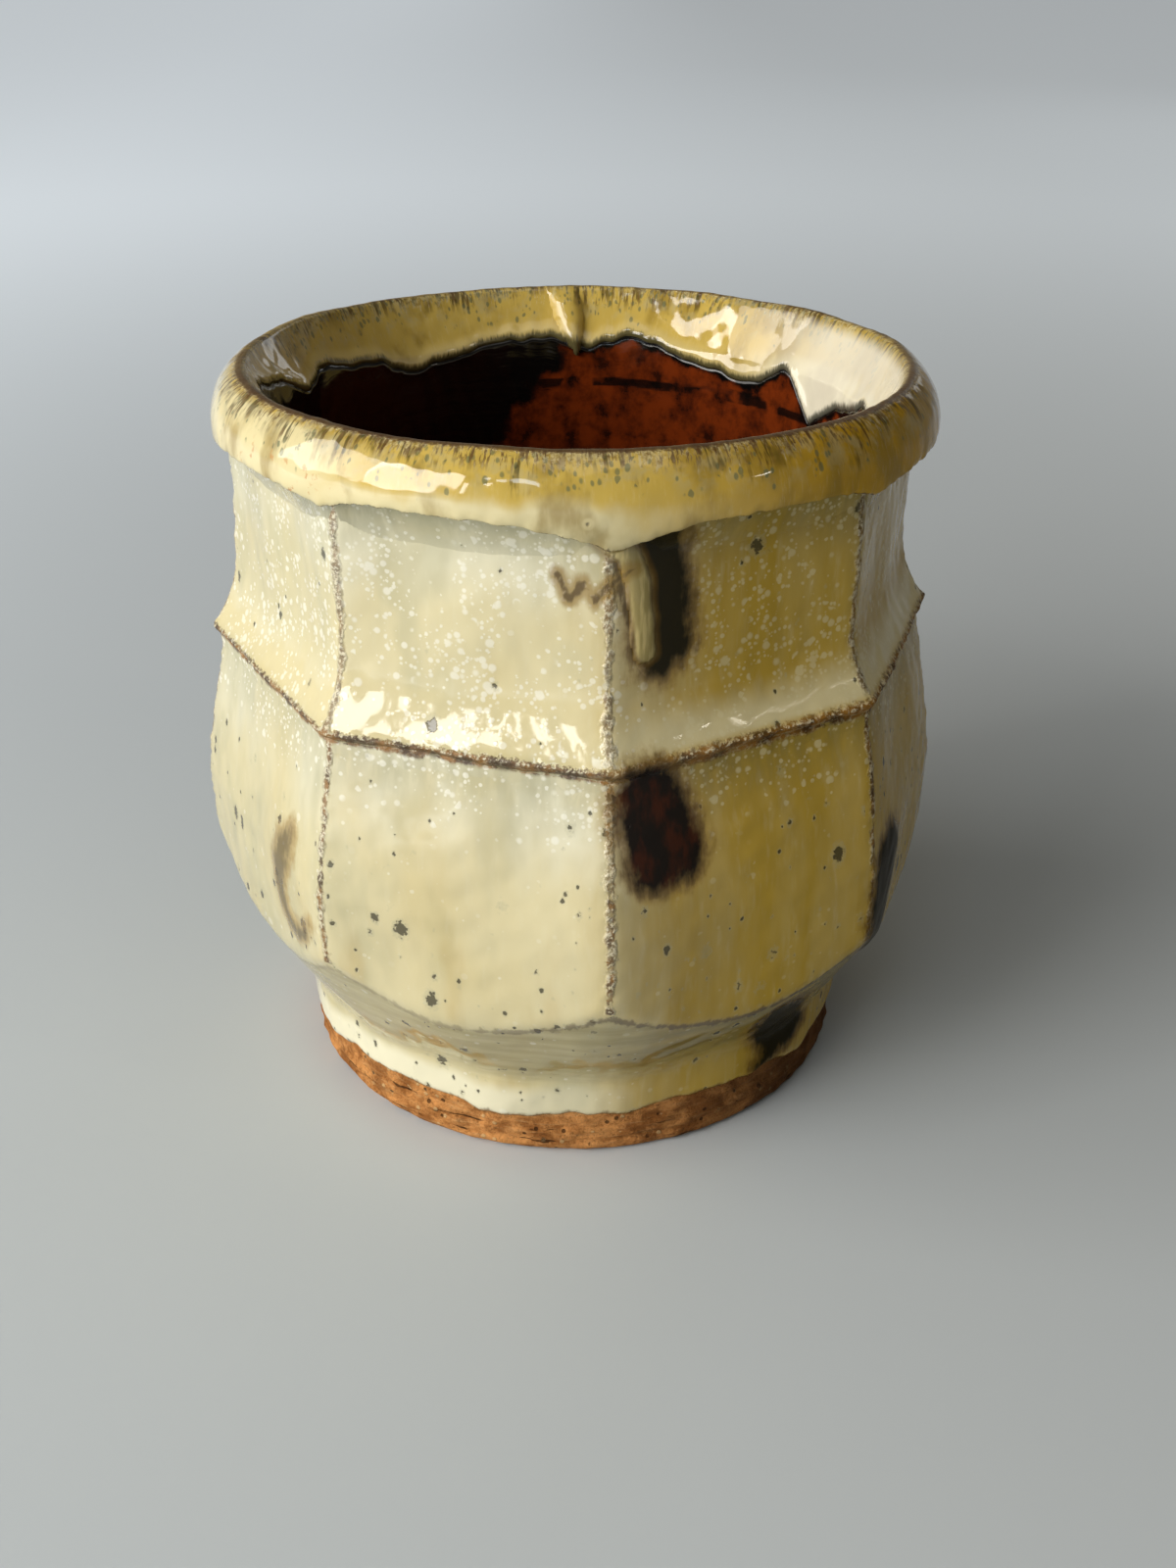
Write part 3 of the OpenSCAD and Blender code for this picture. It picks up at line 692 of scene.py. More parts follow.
class Shader:
    """A material or world whose nodes are made by plain calls. Lengths are in millimetres."""

    def __init__(self, owner):
        owner.use_nodes = True
        self.owner = owner
        self.tree = owner.node_tree
        self.place = self.scaled(self.out("ShaderNodeTexCoord", "Object"), (1 / MM, 1 / MM, 1 / MM))

    def feed(self, socket, value):
        """Links a node's output to a socket, or sets the socket to a plain value."""
        if isinstance(value, Value):
            self.tree.links.new(value.socket, socket)
        else:
            socket.default_value = value

    def node(self, kind, inputs=None, operation=None):
        """A new node with its inputs, given by name or number, fed."""
        node = self.tree.nodes.new(kind)
        if operation:
            node.operation = operation
        for key, value in (inputs or {}).items():
            self.feed(node.inputs[key], value)
        return node

    def out(self, kind, key, inputs=None, operation=None):
        """One output of a new node, by name or number."""
        return Value(self, self.node(kind, inputs, operation).outputs[key])

    def scaled(self, vector, scale):
        return self.out("ShaderNodeVectorMath", 0, {0: vector, 1: scale}, "MULTIPLY")

    def moved(self, vector, offset):
        return self.out("ShaderNodeVectorMath", 0, {0: vector, 1: offset}, "ADD")

    def part(self, vector, axis):
        """One coordinate of a vector: 0 to the right, 1 to the back, 2 up."""
        return self.out("ShaderNodeSeparateXYZ", axis, {0: vector})

    def math(self, operation, a, b=0.0):
        return self.out("ShaderNodeMath", 0, {0: a, 1: b}, operation)

    def most(self, first, *others):
        """The greatest of some values."""
        for other in others:
            first = self.math("MAXIMUM", first, other)
        return first

    def span(self, value, low, high):
        """0 where value is low, 1 where it is high, and smooth between."""
        node = self.node("ShaderNodeMapRange", {"Value": value, "From Min": low, "From Max": high})
        node.interpolation_type = "SMOOTHSTEP"
        return Value(self, node.outputs["Result"])

    def band(self, value, low, from_low, to_high, high):
        """1 where value is between the middle two numbers, and 0 below the first and above the last."""
        return self.span(value, low, from_low) * self.span(value, high, to_high)

    def shaken(self, value, noise, amount):
        """A value moved either way by noise of about 0..1, over a range of that amount."""
        return value + (noise - 0.5) * amount

    def mix(self, share, a, b):
        """A colour that is a where share is 0 and b where it is 1."""
        node = self.node("ShaderNodeMix")
        node.data_type = "RGBA"
        for key, value in ((0, share), (6, a), (7, b)):
            self.feed(node.inputs[key], value)
        return Value(self, node.outputs[2])

    def between(self, share, a, b):
        """A number that is a where share is 0 and b where it is 1."""
        return (1.0 - share) * a + share * b

    def coats(self, colour, *layers):
        """A colour under layers of others. Each layer is its share, its strength and its colour."""
        for share, strength, layer in layers:
            colour = self.mix(share * strength, colour, layer)
        return colour

    def azimuth(self, sign=1):
        """Azimuth in degrees, from the front for sign 1 and from the back for sign -1."""
        turned = self.scaled(self.place, (sign, -sign, 1))
        return self.math("ARCTAN2", self.part(turned, 0), self.part(turned, 1)) * (180 / math.pi)

    def on_right(self, low, high):
        """0 at azimuth low, 1 at high, and 0 again round the back."""
        return self.band(self.azimuth(), low, high, 120, 178)

    def on_left(self, low, high):
        """0 at azimuth low, 1 further left at high, and 0 again round the back."""
        return self.band(self.azimuth(), -178, -120, high, low)

    def distance(self, name):
        """A named distance along the skin, as make_piece gives it to the mesh."""
        node = self.node("ShaderNodeAttribute")
        node.attribute_name = name
        return Value(self, node.outputs["Fac"])

    def flow(self, name):
        """Coordinates that run round the cup and, by a named distance, along its skin."""
        flat = self.out("ShaderNodeVectorMath", 0, {0: self.scaled(self.place, (1, 1, 0))}, "NORMALIZE")
        along = self.out("ShaderNodeCombineXYZ", 0, {2: self.distance(name)})
        return self.moved(self.scaled(flat, (CREST_R, CREST_R, CREST_R)), along)

    def seen(self):
        """1 for what the camera sees, straight or in a gloss, and 0 for light on the object."""
        camera, gloss = [self.out("ShaderNodeLightPath", ray) for ray in ("Is Camera Ray", "Is Glossy Ray")]
        return self.most(camera, gloss)

    def noise(self, size, seed, across=1, up=1, detail=3, rough=0.55, place=None):
        """Noise of about 0..1 in patches of size mm, drawn out where across or up is small."""
        vector = self.scaled(place or self.place, (across, across, up))
        vector = self.moved(vector, (seed * 37, seed * 11, seed * 23))
        inputs = {"Vector": vector, "Scale": 1 / size, "Detail": detail, "Roughness": rough}
        return self.out("ShaderNodeTexNoise", "Fac", inputs)

    def cells(self, size, seed, up=1, place=None):
        """Distance, in cell widths, from scattered points size mm apart, and two random shares."""
        vector = self.scaled(place or self.place, (1, 1, up))
        vector = self.moved(vector, (seed * 17, seed * 29, seed * 13))
        points = self.node("ShaderNodeTexVoronoi", {"Vector": vector, "Scale": 1 / size}).outputs
        shares = self.node("ShaderNodeSeparateColor", {0: Value(self, points["Color"])}).outputs
        return [Value(self, socket) for socket in (points["Distance"], shares[0], shares[1])]

    def finish(self, colour, roughness, height, specular=0.5):
        """Sets the surface's colour and gloss, and its relief in millimetres."""
        bump = self.out("ShaderNodeBump", 0, {"Strength": 1.0, "Distance": MM, "Height": height})
        surface = self.tree.nodes["Principled BSDF"].inputs
        self.feed(surface["Base Color"], colour)
        self.feed(surface["Roughness"], roughness)
        self.feed(surface["Specular IOR Level"], specular)
        self.feed(surface["Normal"], bump)
        return self.owner


# Colours of the glazes
IVORY = srgb(226, 220, 190)
CREAM = srgb(220, 208, 164)
BUTTER = srgb(214, 194, 132)
SHADED_HONEY = srgb(182, 150, 56)
SHADED_HONEY_AMBER = srgb(190, 146, 28)
OCHRE = srgb(188, 156, 82)
POOL_AND_SHADE_GREY = srgb(176, 172, 140)
CLOUD_GREY = srgb(182, 176, 138)
FOOT_PAINTED_LIGHT = srgb(236, 230, 200)
POOL_AND_SHADE_OLIVE = srgb(124, 112, 62)
UNDER_POOL_AND_SHADE = srgb(164, 150, 96)
DOT_WHITE = srgb(246, 243, 228)
SPECK = srgb(56, 50, 28)
AMBER = srgb(204, 174, 84)
AMBER_CREAM = srgb(224, 210, 160)
AMBER_OLIVE = srgb(146, 118, 40)
BLUE_GREEN = srgb(86, 102, 78)
ORANGE = srgb(194, 122, 52)
INNER_CREAM_LIT = srgb(246, 240, 222)
LINER_RED = srgb(112, 44, 12)
LINER_DARK = srgb(70, 26, 9)
LINER_BLACK_AND_SHADE = srgb(10, 9, 8)
LINER_GREEN = srgb(34, 38, 22)

# Colours of the grit, the lines along the edges and the brush marks
GRIT_DARK = srgb(104, 78, 42)
GRIT_PALE = srgb(226, 217, 192)
LINE_BROWN = srgb(74, 50, 22)
RUST = srgb(146, 102, 40)
CREST_BROWN = srgb(92, 62, 28)
CREST_PALE = srgb(214, 202, 158)
CREST_CLAY = srgb(82, 54, 24)
PLUME_DARK = srgb(58, 54, 26)
STREAK_GREEN = srgb(78, 84, 62)
IRON_BLACK = srgb(26, 17, 9)
IRON_RED = srgb(62, 27, 9)
IRON_OLIVE = srgb(36, 30, 10)
OLIVE = srgb(112, 82, 26)
HALO_OCHRE = srgb(158, 122, 40)
SCRIBBLE_OCHRE = srgb(150, 118, 44)
STROKE_OLIVE = srgb(85, 63, 20)
RUN_OLIVE = srgb(172, 154, 96)

# Colours of the clay and the table
CLAY = srgb(212, 148, 86)
CLAY_DARK = srgb(146, 92, 46)
CLAY_PALE = srgb(212, 176, 124)
CLAY_CRACK = srgb(52, 32, 16)
CLAY_PAINTED_SHADE = srgb(62, 38, 18)
TABLE_RIGHT = srgb(196, 201, 202)
TABLE_LIT_LEFT = srgb(204, 213, 221)
TABLE_GLOW = srgb(180, 187, 193)

# Gloss of the glazes on the lit side and on the dull right side
GLOSS = 0.7
GLOSS_RIGHT = 0.06

# Height of the dark ring in the well
RING_H = 70.6


def cream_ground(s, side, streak, fine, cloud):
    """The cream glaze itself, warmer down each facet, honey on the right that is partly its own colour and
    partly painted shade, with painted shade on the far left facet and painted light on the coves.
    """
    ridge_at = s.distance("ridge")
    # On the right the glaze is painted butter, ochre and honey: partly its own colour and partly painted
    # shade.
    right = s.on_right(0, 50)
    down_belly = s.span(ridge_at, -3, -20)
    down_face = s.span(s.distance("ledge"), 3, 15) * s.span(ridge_at, -1, 0.5)
    warm = s.most(down_belly, down_face) * 0.5 + streak * 0.5
    grey = s.span(s.noise(8, 39, up=0.5), 0.46, 0.64) * (1.0 - right)
    # Painted shade: the far left facet, which the lamps light most, made a little greyer.
    far_left_painted_shade = s.band(s.azimuth(), -150, -110, -44, -34)
    butter = s.span(cloud + right * 0.1, 0.46, 0.7)
    ochre = s.span(s.noise(7, 5, up=0.3), 0.56, 0.76) * down_belly
    # Painted light: the coves over the ridges, which face up to the light, made paler cream.
    cove_painted_light = s.span(ridge_at, 0.3, 1.6) * s.span(ridge_at + streak * 3, 8, 4)
    return s.coats(
        s.mix(s.span(warm, 0.2, 0.62), IVORY, CREAM),
        (grey, 0.5, CLOUD_GREY),
        (far_left_painted_shade, 0.28, CLOUD_GREY),
        (butter, s.between(right, 0.4, 0.7), BUTTER),
        (side, s.between(s.span(streak, 0.36, 0.62), 0.84, 1.0), SHADED_HONEY),
        (ochre, s.between(right, 0.35, 0.65), OCHRE),
        (cove_painted_light, 0.85, CREAM),
        (s.span(fine, 0.5, 0.8), 0.15, IVORY))


def cream_pools_and_painted_light(s, colour, side, fine, cloud):
    """Darker glaze under the ridge, the ledge and the belly, partly thick glaze and partly painted shade, and
    painted light on the left side of the foot.
    """
    line_at = s.distance("line_up")
    # Painted shade with thick glaze: greyer bands under the ridge and under the collar's ledge.
    pool_and_shade = s.most(s.band(s.distance("ridge"), -9, -1, -0.5, 0.5),
                  s.band(s.distance("ledge"), -2.5, -0.5, 0.5, 7))
    pool_and_shade *= s.between(s.span(fine, 0.3, 0.6), 0.5, 1.0)
    # Painted light: the foot's lit left side made paler.
    lit_foot_left = s.span(line_at, 5, 3) * s.on_left(20, -20)
    rings = s.noise(1.4, 40, across=0.12)
    # Painted shade with thick glaze: darker olive on the belly's underside above the foot.
    under = s.span(s.shaken(s.distance("belly_up"), cloud, 2), 0.3, -1.2)
    under *= s.span(line_at + rings * 3, 5, 10.5) * s.between(s.span(rings, 0.3, 0.7), 0.45, 0.85)
    return s.coats(
        colour,
        (pool_and_shade, 0.6, s.mix(side, POOL_AND_SHADE_GREY, POOL_AND_SHADE_OLIVE)),
        (lit_foot_left, 0.9, FOOT_PAINTED_LIGHT),
        (under, 1.0, s.mix(side, UNDER_POOL_AND_SHADE, POOL_AND_SHADE_OLIVE)))


def cream_spots(s, colour, side):
    """White dots on both tiers and dark specks on the belly. Gives the shares of both as well."""
    ridge_at = s.distance("ridge")
    ledge_at = s.distance("ledge")
    tiers = s.most(s.span(ledge_at, 12, 2.5) * s.span(ridge_at, 3, 8), s.span(ridge_at, -10, -2.5))
    patches = s.between(s.span(s.noise(6, 4, detail=2), 0.42, 0.6), 0.1, 1.0)
    crowd = tiers * s.span(ledge_at, -0.2, 0.8) * patches * 0.62
    dots = []
    for size, seed, radius in ((0.85, 1, 0.36), (0.5, 2, 0.4), (1.2, 3, 0.34)):
        near, pick, width = s.cells(size, seed)
        inside = (width + 0.3) * radius - near
        dots.append(s.span(inside, -0.08, 0.12) * s.span(pick + crowd, 0.95, 1.03))
    belly = s.span(ridge_at, -4, -13) * s.span(s.noise(8, 36, detail=2), 0.38, 0.56) * 0.38
    uneven = s.noise(0.4, 8)
    specks = []
    rings = []
    for size, seed, radius in ((3.4, 7, 0.17), (2.1, 6, 0.16), (1.2, 16, 0.14)):
        near, pick, width = s.cells(size, seed, up=0.7)
        inside = (width + 0.3) * radius - s.shaken(near, uneven, 0.36)
        chosen = s.span(pick + belly, 0.92, 0.95)
        specks.append(s.span(inside, -0.02, 0.03) * chosen)
        rings.append(s.span(inside, -0.14, -0.04) * chosen)
    dots = s.most(*dots)
    specks = s.most(*specks)
    colour = s.coats(
        colour,
        (dots, s.between(side, 0.58, 0.5), s.mix(side, DOT_WHITE, CREAM)),
        *[(ring, 0.3, POOL_AND_SHADE_GREY) for ring in rings],
        (specks, 0.85, SPECK))
    return colour, dots, specks


def cream_edges(s, colour, side, fine):
    """Grit on the corners and the ridge, and dark lines along the edges. Gives the grit as well."""
    ridge_at = s.distance("ridge")
    corner_at = s.distance("corner")
    grain = s.noise(0.45, 9, rough=0.7)
    corner_grit = s.span(s.shaken(corner_at, s.noise(1.6, 10, detail=4), 1.7), 0.6, 0.1)
    tip = s.shaken(abs(ridge_at + 0.15), grain, 1.3)
    ridge_grit = s.span(tip, s.between(side, 0.8, 1.25), 0.4)
    grit = s.most(corner_grit, ridge_grit)
    seam = s.span(s.shaken(corner_at, s.noise(1.1, 37, detail=4), 1.5), 0.42, 0.08)
    seam *= s.between(s.span(ridge_at, 0, -2), 0.4, 0.85)
    seam = s.most(seam, ridge_grit * 0.9) * s.span(grain, 0.6, 0.5)
    belly_edge = s.shaken(abs(s.distance("belly_up") + 0.6), fine, 2.6)
    belly_line = s.span(belly_edge, 0.8, 0.1) * s.between(s.on_right(-30, 20), 0.45, 1.0)
    under_line = s.span(ridge_at + fine, -0.75, -0.1) * s.span(ridge_at, 0.1, -0.2)
    ledge_line = s.span(s.shaken(s.distance("ledge"), fine, 1.2), 0.1, -0.5)
    foot_line = s.span(s.distance("line_up") + fine * 1.6, 1.6, 0.9)
    rust = s.mix(s.span(s.noise(2.4, 30, detail=4), 0.42, 0.6), LINE_BROWN, RUST)
    colour = s.coats(
        colour,
        (grit, 0.7, s.mix(s.span(grain, 0.42, 0.58), GRIT_DARK, GRIT_PALE)),
        (seam, 1.0, rust),
        (belly_line, 0.75, LINE_BROWN),
        (s.most(under_line, ledge_line), 0.75, rust),
        (foot_line, 0.8, OLIVE))
    return colour, grit * grain, grit


def brush_marks(s, colour):
    """The iron daubs, the run of the rim's glaze and the scribble. Gives the daubs' core as well."""
    brushed = s.noise(0.9, 11, up=0.25, detail=4, rough=0.6) + s.noise(2.2, 17)
    wobble = (brushed - 1.0) * 2.4
    daub = s.distance("daub") + wobble
    pale = s.distance("pale_daub") + wobble
    halo = s.most(s.span(daub, 2.1, 0.1), s.span(pale, 0.8, -0.6) * 0.7)
    core = s.most(s.span(daub, 0.7, -1.0), s.span(pale, -0.2, -1.7) * 0.6)
    red = s.mix(s.span(s.noise(2.2, 12, up=0.4), 0.45, 0.65), IRON_BLACK, IRON_RED)
    on_lower = s.band(s.part(s.place, 2), 36, 40, 51, 54)
    run = s.distance("run") + wobble * 0.2
    swirl = s.mix(s.span(s.noise(0.8, 15, up=0.15), 0.4, 0.62), RUN_OLIVE, BUTTER)
    run_line = s.span(s.distance("run_line") + wobble * 0.3, 0.35, -0.05)
    scribble = s.distance("scribble") + wobble * 0.35
    colour = s.coats(
        colour,
        (halo, 0.85, s.mix(s.span(daub, 1.6, 0.4), HALO_OCHRE, OLIVE)),
        (core, 1.0, s.mix(on_lower, IRON_OLIVE, red)),
        (s.span(run, 0.3, -0.6), 0.9, swirl),
        (s.band(run, -0.5, -0.1, 0.1, 0.7), 0.5, OLIVE),
        (s.span(scribble, 0.8, 0.0), 0.75, SCRIBBLE_OCHRE),
        (s.most(run_line, s.span(scribble, 0.0, -0.3)), 0.85, STROKE_OLIVE))
    return colour, core


def cream_material(name):
    """The cream glaze with its spots, edges and brush marks."""
    s = Shader(bpy.data.materials.new(name))
    around = s.azimuth()
    streak = s.noise(4.5, 1, up=0.14, detail=4)
    fine = s.noise(0.9, 2, up=0.2)
    cloud = s.noise(13, 3, up=0.6, detail=2)
    # The right of the cup: its darker honey and olive and its creamier dots are partly the glaze's own colour
    # and partly painted shade.
    side = s.span(around + streak * 14, 4, 26) * s.span(around, 178, 115)
    colour = cream_ground(s, side, streak, fine, cloud)
    colour = cream_pools_and_painted_light(s, colour, side, fine, cloud)
    colour, dots, specks = cream_spots(s, colour, side)
    colour, crumbs, grit = cream_edges(s, colour, side, fine)
    colour, core = brush_marks(s, colour)
    height = s.noise(4.5, 13, detail=2) * 0.035 + s.noise(0.7, 14, detail=1) * 0.004
    height += dots * 0.005 - specks * 0.06 + crumbs * 0.24
    roughness = fine * 0.06 + grit * 0.45 + core * 0.14 + 0.05
    gloss = s.between(s.band(around, 2, 34, 115, 178), GLOSS, GLOSS_RIGHT) * s.between(core, 1.0, 0.25)
    return s.finish(colour, roughness, height, gloss)


def amber_ground(s, side, lit_pale_inside, flow, hair):
    """The rim's glaze itself, paler low on the collar, with green spots and a little orange, and honey and
    olive on the right that are partly its own colour and partly painted shade.
    """
    crest_at = s.distance("crest_up")
    swirl = s.noise(5, 21, up=0.6, detail=4, rough=0.5)
    # On the right the collar is less pale and more honey and olive: partly its own colour, partly painted
    # shade.
    low = s.shaken(s.span(crest_at, -3.5, -7), swirl, 1.6) * s.between(s.on_right(-8, 22), 1.0, 0.3)
    low = s.most(low, s.span(crest_at, 5, 8))
    low *= s.between(s.span(crest_at, 1, 3), 1.0, s.between(lit_pale_inside, 0.25, 1.0))
    low = s.most(low, s.on_left(-20, -50) * s.span(crest_at, 0, -2))
    olive = s.span(swirl + s.on_right(0, 45) * 0.1, 0.5, 0.68)
    near_crest = s.band(crest_at, -6, -2.5, 3, 7)
    haze = s.span(s.noise(2.2, 20, place=flow), 0.48, 0.66) * near_crest
    near, pick, width = s.cells(0.5, 23, up=0.6, place=flow)
    crowd = near_crest * s.between(s.span(s.noise(2.4, 19, place=flow), 0.4, 0.6), 0.22, 0.57)
    green = s.span(width * 0.55 - near, -0.14, 0.1) * s.span(pick + crowd, 0.97, 1.07)
    orange = s.span(s.noise(1.2, 24), 0.6, 0.68) * s.span(crest_at, -3, -6)
    orange *= s.band(s.azimuth(), -62, -52, -42, -30)
    return s.coats(
        s.mix(s.span(low, 0.1, 0.8), AMBER, AMBER_CREAM),
        (side, 0.94, SHADED_HONEY_AMBER),
        (olive, 0.65, AMBER_OLIVE),
        (s.span(hair, 0.5, 0.8), 0.2, AMBER_CREAM),
        (haze, 0.35, POOL_AND_SHADE_GREY),
        (green, 0.65, BLUE_GREEN),
        (orange, 0.8, ORANGE))


def amber_crest(s, colour, flow, hair, grain):
    """The fringe, streaks and plumes at the crest, and its bare lip. Gives two shares as well."""
    crest_at = s.distance("crest_up")
    from_crest = abs(crest_at)
    fringe = s.shaken(abs(crest_at - 0.4), hair, -8)
    crest = s.span(s.shaken(fringe, s.noise(5, 29, place=flow), 6), 1.8, 0.4)
    crest_colour = s.mix(s.span(grain + hair * 0.5, 0.6, 0.86), CREST_BROWN, CREST_PALE)
    streaks = s.span(hair, 0.5, 0.6) * s.span(from_crest, 3.0, 0.8)
    streaks *= s.span(s.noise(6, 18, place=flow), 0.38, 0.56)
    plume = s.noise(0.6, 26, up=0.13, rough=0.6, place=flow)
    plumes = s.span(plume, 0.48, 0.57) * s.span(s.noise(4, 30, place=flow), 0.4, 0.56)
    plumes *= s.span(s.shaken(from_crest, s.noise(5, 38, place=flow), -9), 4.6, 1.4)
    lip = s.span(abs(crest_at - 0.35) + grain * 1.1, 1.35, 0.8)
    at_back = s.span(abs(s.azimuth(-1)), 110, 70)
    colour = s.coats(
        colour,
        (crest, 0.5, crest_colour),
        (streaks, 0.85, s.mix(s.span(crest_at, 0.5, 1.5), CREST_BROWN, STREAK_GREEN)),
        (plumes, 0.8, s.mix(s.span(hair, 0.4, 0.6), PLUME_DARK, CREST_BROWN)),
        (lip, s.between(at_back, 0.9, 0.35), CREST_CLAY))
    return colour, crest, lip


def amber_material():
    """The ochre and cream glaze of the collar, gritty on its crest."""
    s = Shader(bpy.data.materials.new("amber_glaze"))
    crest_at = s.distance("crest_up")
    down = s.distance("ragged_down")
    flow = s.flow("collar_up")
    hair = s.noise(0.3, 22, up=0.2, rough=0.6, place=flow)
    grain = s.noise(0.45, 25, rough=0.7)
    # The right of the collar, painted honey: partly the glaze's own colour, partly painted shade.
    side = s.on_right(0, 45) * s.span(crest_at, 1.0, -0.5)
    # Painted light on pale glaze: the inside of the lip at the right and back, where light falls in, made
    # near white.
    lit_pale_inside = s.band(s.azimuth(), 30, 70, 116, 144)
    colour = amber_ground(s, side, lit_pale_inside, flow, hair)
    colour, crest, lip = amber_crest(s, colour, flow, hair, grain)
    edge = s.span(s.shaken(s.distance("collar_up"), hair, 0.8), 0.4, 0.05)
    near, pick, _ = s.cells(6.5, 27)
    chosen = s.span(pick, 0.7, 0.74)
    hole = s.span(near, 0.075, 0.055) * chosen
    colour = s.coats(
        colour,
        (edge, 0.8, LINE_BROWN),
        (s.span(down, -2.6, -0.8), 0.35, AMBER_CREAM),
        (lit_pale_inside * s.span(crest_at, 1.2, 3), 0.7, INNER_CREAM_LIT),
        (s.span(down + hair * 1.2, -0.5, 0.2), 0.85, LINER_GREEN),
        (s.span(near, 0.13, 0.09) * chosen, 0.5, AMBER_CREAM),
        (hole, 0.9, SPECK))
    height = s.noise(4, 28, detail=2) * 0.06 + hole * -0.15 + s.most(lip, edge) * grain * 0.2
    roughness = s.most(lip, crest * 0.3) * 0.35 + hair * 0.05 + 0.04
    return s.finish(colour, roughness, height, s.between(side, GLOSS, GLOSS_RIGHT))


def liner_material():
    """The iron glaze in the well: red-brown, black where it lies thick, and black on the left that is partly
    the glaze and partly painted shade.
    """
    s = Shader(bpy.data.materials.new("iron_glaze"))
    down = s.distance("ragged_down")
    mottle = s.noise(2.4, 31, up=0.9, detail=5, rough=0.6)
    rings = s.noise(1.6, 32, across=0.07, place=s.flow("line_up"))
    start = s.shaken(s.azimuth(-1), s.noise(6, 35, detail=4), 40) + down * -1.3
    # Painted shade on black glaze: the left of the well, in the lip's shadow, made black.
    black_and_shaded_left = s.span(start, -2, 5) * s.span(s.azimuth(-1), 125, 105)
    rim = s.span(down + mottle * 3, 2.7, 1.9)
    from_ring = abs(s.shaken(s.part(s.place, 2), rings, 2.4) - RING_H)
    ring = s.span(from_ring, 0.75, 0.35) * s.span(s.noise(5, 33), 0.4, 0.5) * 0.9
    colour = s.coats(
        s.mix(s.span(mottle, 0.36, 0.64), LINER_DARK, LINER_RED),
        (s.span(mottle + rings * 0.3, 0.58, 0.48), 0.6, LINER_BLACK_AND_SHADE),
        (s.most(black_and_shaded_left, rim, ring), 1.0, LINER_BLACK_AND_SHADE))
    height = s.noise(2.4, 34, across=0.5) * 0.06 + rings * 0.08
    return s.finish(colour, mottle * 0.12 + 0.08, height)


def clay_material():
    """The bare fired clay of the foot: rough, pitted and scratched by trimming, with painted shade on its
    right.
    """
    s = Shader(bpy.data.materials.new("stoneware"))
    patchy = s.noise(3, 41, detail=5, rough=0.7)
    grain = s.noise(0.35, 42, rough=0.75)
    scratch = s.noise(0.4, 43, across=0.12, detail=4, rough=0.7)
    near, pick, width = s.cells(1.1, 44)
    grog = s.span(near, 0.3, 0.2) * s.span(pick, 0.7, 0.75)
    pit = s.span(near, 0.26, 0.18) * s.span(width, 0.78, 0.82)
    crack = s.span(s.noise(0.8, 45, across=0.1, detail=4, rough=0.7), 0.38, 0.34)
    hollow = s.most(pit, crack)
    colour = s.coats(
        s.mix(s.span(patchy, 0.38, 0.64), CLAY_DARK, CLAY),
        (s.span(scratch, 0.5, 0.72), 0.3, CLAY_PALE),
        (s.span(grain, 0.46, 0.34), 0.4, CLAY_CRACK),
        (grog, 0.7, CLAY_PALE),
        (hollow, 0.8, CLAY_CRACK),
        # Painted shade: the clay darkened towards the right, as in shadow.
        (s.span(s.part(s.place, 0), 2, 28), 0.8, CLAY_PAINTED_SHADE))
    height = grain * 0.2 + scratch * 0.22 + grog * 0.08 + hollow * -0.22
    return s.finish(colour, grain * 0.2 + 0.68, height, 0.08)


def floor_material():
    """A smooth grey table top with painted light: lighter to the left, towards the lamps, and glowing to the
    camera further back and to the left.
    """
    s = Shader(bpy.data.materials.new("table_top"))
    surface = s.tree.nodes["Principled BSDF"].inputs
    # Painted light: the table made lighter towards the lamps on the left.
    lit_to_left = s.span(s.part(s.place, 0), 260, -320)
    far = s.out("ShaderNodeVectorMath", "Value", {0: s.place}, "LENGTH")
    # Painted light: a glow to the camera, stronger further back and to the left.
    painted_glow = s.seen() * s.span(far, 0, 720) * s.between(lit_to_left, 0.66, 0.96)
    s.feed(surface["Emission Color"], TABLE_GLOW)
    s.feed(surface["Emission Strength"], painted_glow)
    return s.finish(s.mix(lit_to_left, TABLE_RIGHT, TABLE_LIT_LEFT), 0.5, s.noise(3, 61) * 0.01, 0.2)


# The glaze's rounded lower edge
for row, tuck in enumerate((0.5, 0.24, 0.08)):
    skin_r[row] -= tuck

SHELL_T = 0.5
INNER_STEP = 12
cream = cream_material("cream_glaze")
amber = amber_material()
liner = liner_material()
shell("cream_glaze", 0, marks["ledge"], "outer_glaze", cream)
shell("amber_glaze", marks["ledge"], marks["ragged"], "rim_glaze", amber)
shell("iron_glaze", marks["ragged"], ROWS - 1, "liner_glaze", liner, floor=True)

# Iron daubs and runs lie on the skin and sink into it at their edges
DAUB_LIFT = 0.12
DAUB_EDGE = 0.8
DAUB_DEPTH = 0.3
RUN_LIFT = 0.5
DROP_LIFT = 1.2
STRIP_EDGE = 0.3
STRIP_DEPTH = 0.35


def half_round(inside, half_width):
    """Height of a strip with a round back: 1 on its middle line, below 0 outside its edge."""
    share = np.clip(inside / half_width, -STRIP_EDGE, 1)
    return np.where(share > 0, reach(1, 1 - share), share)


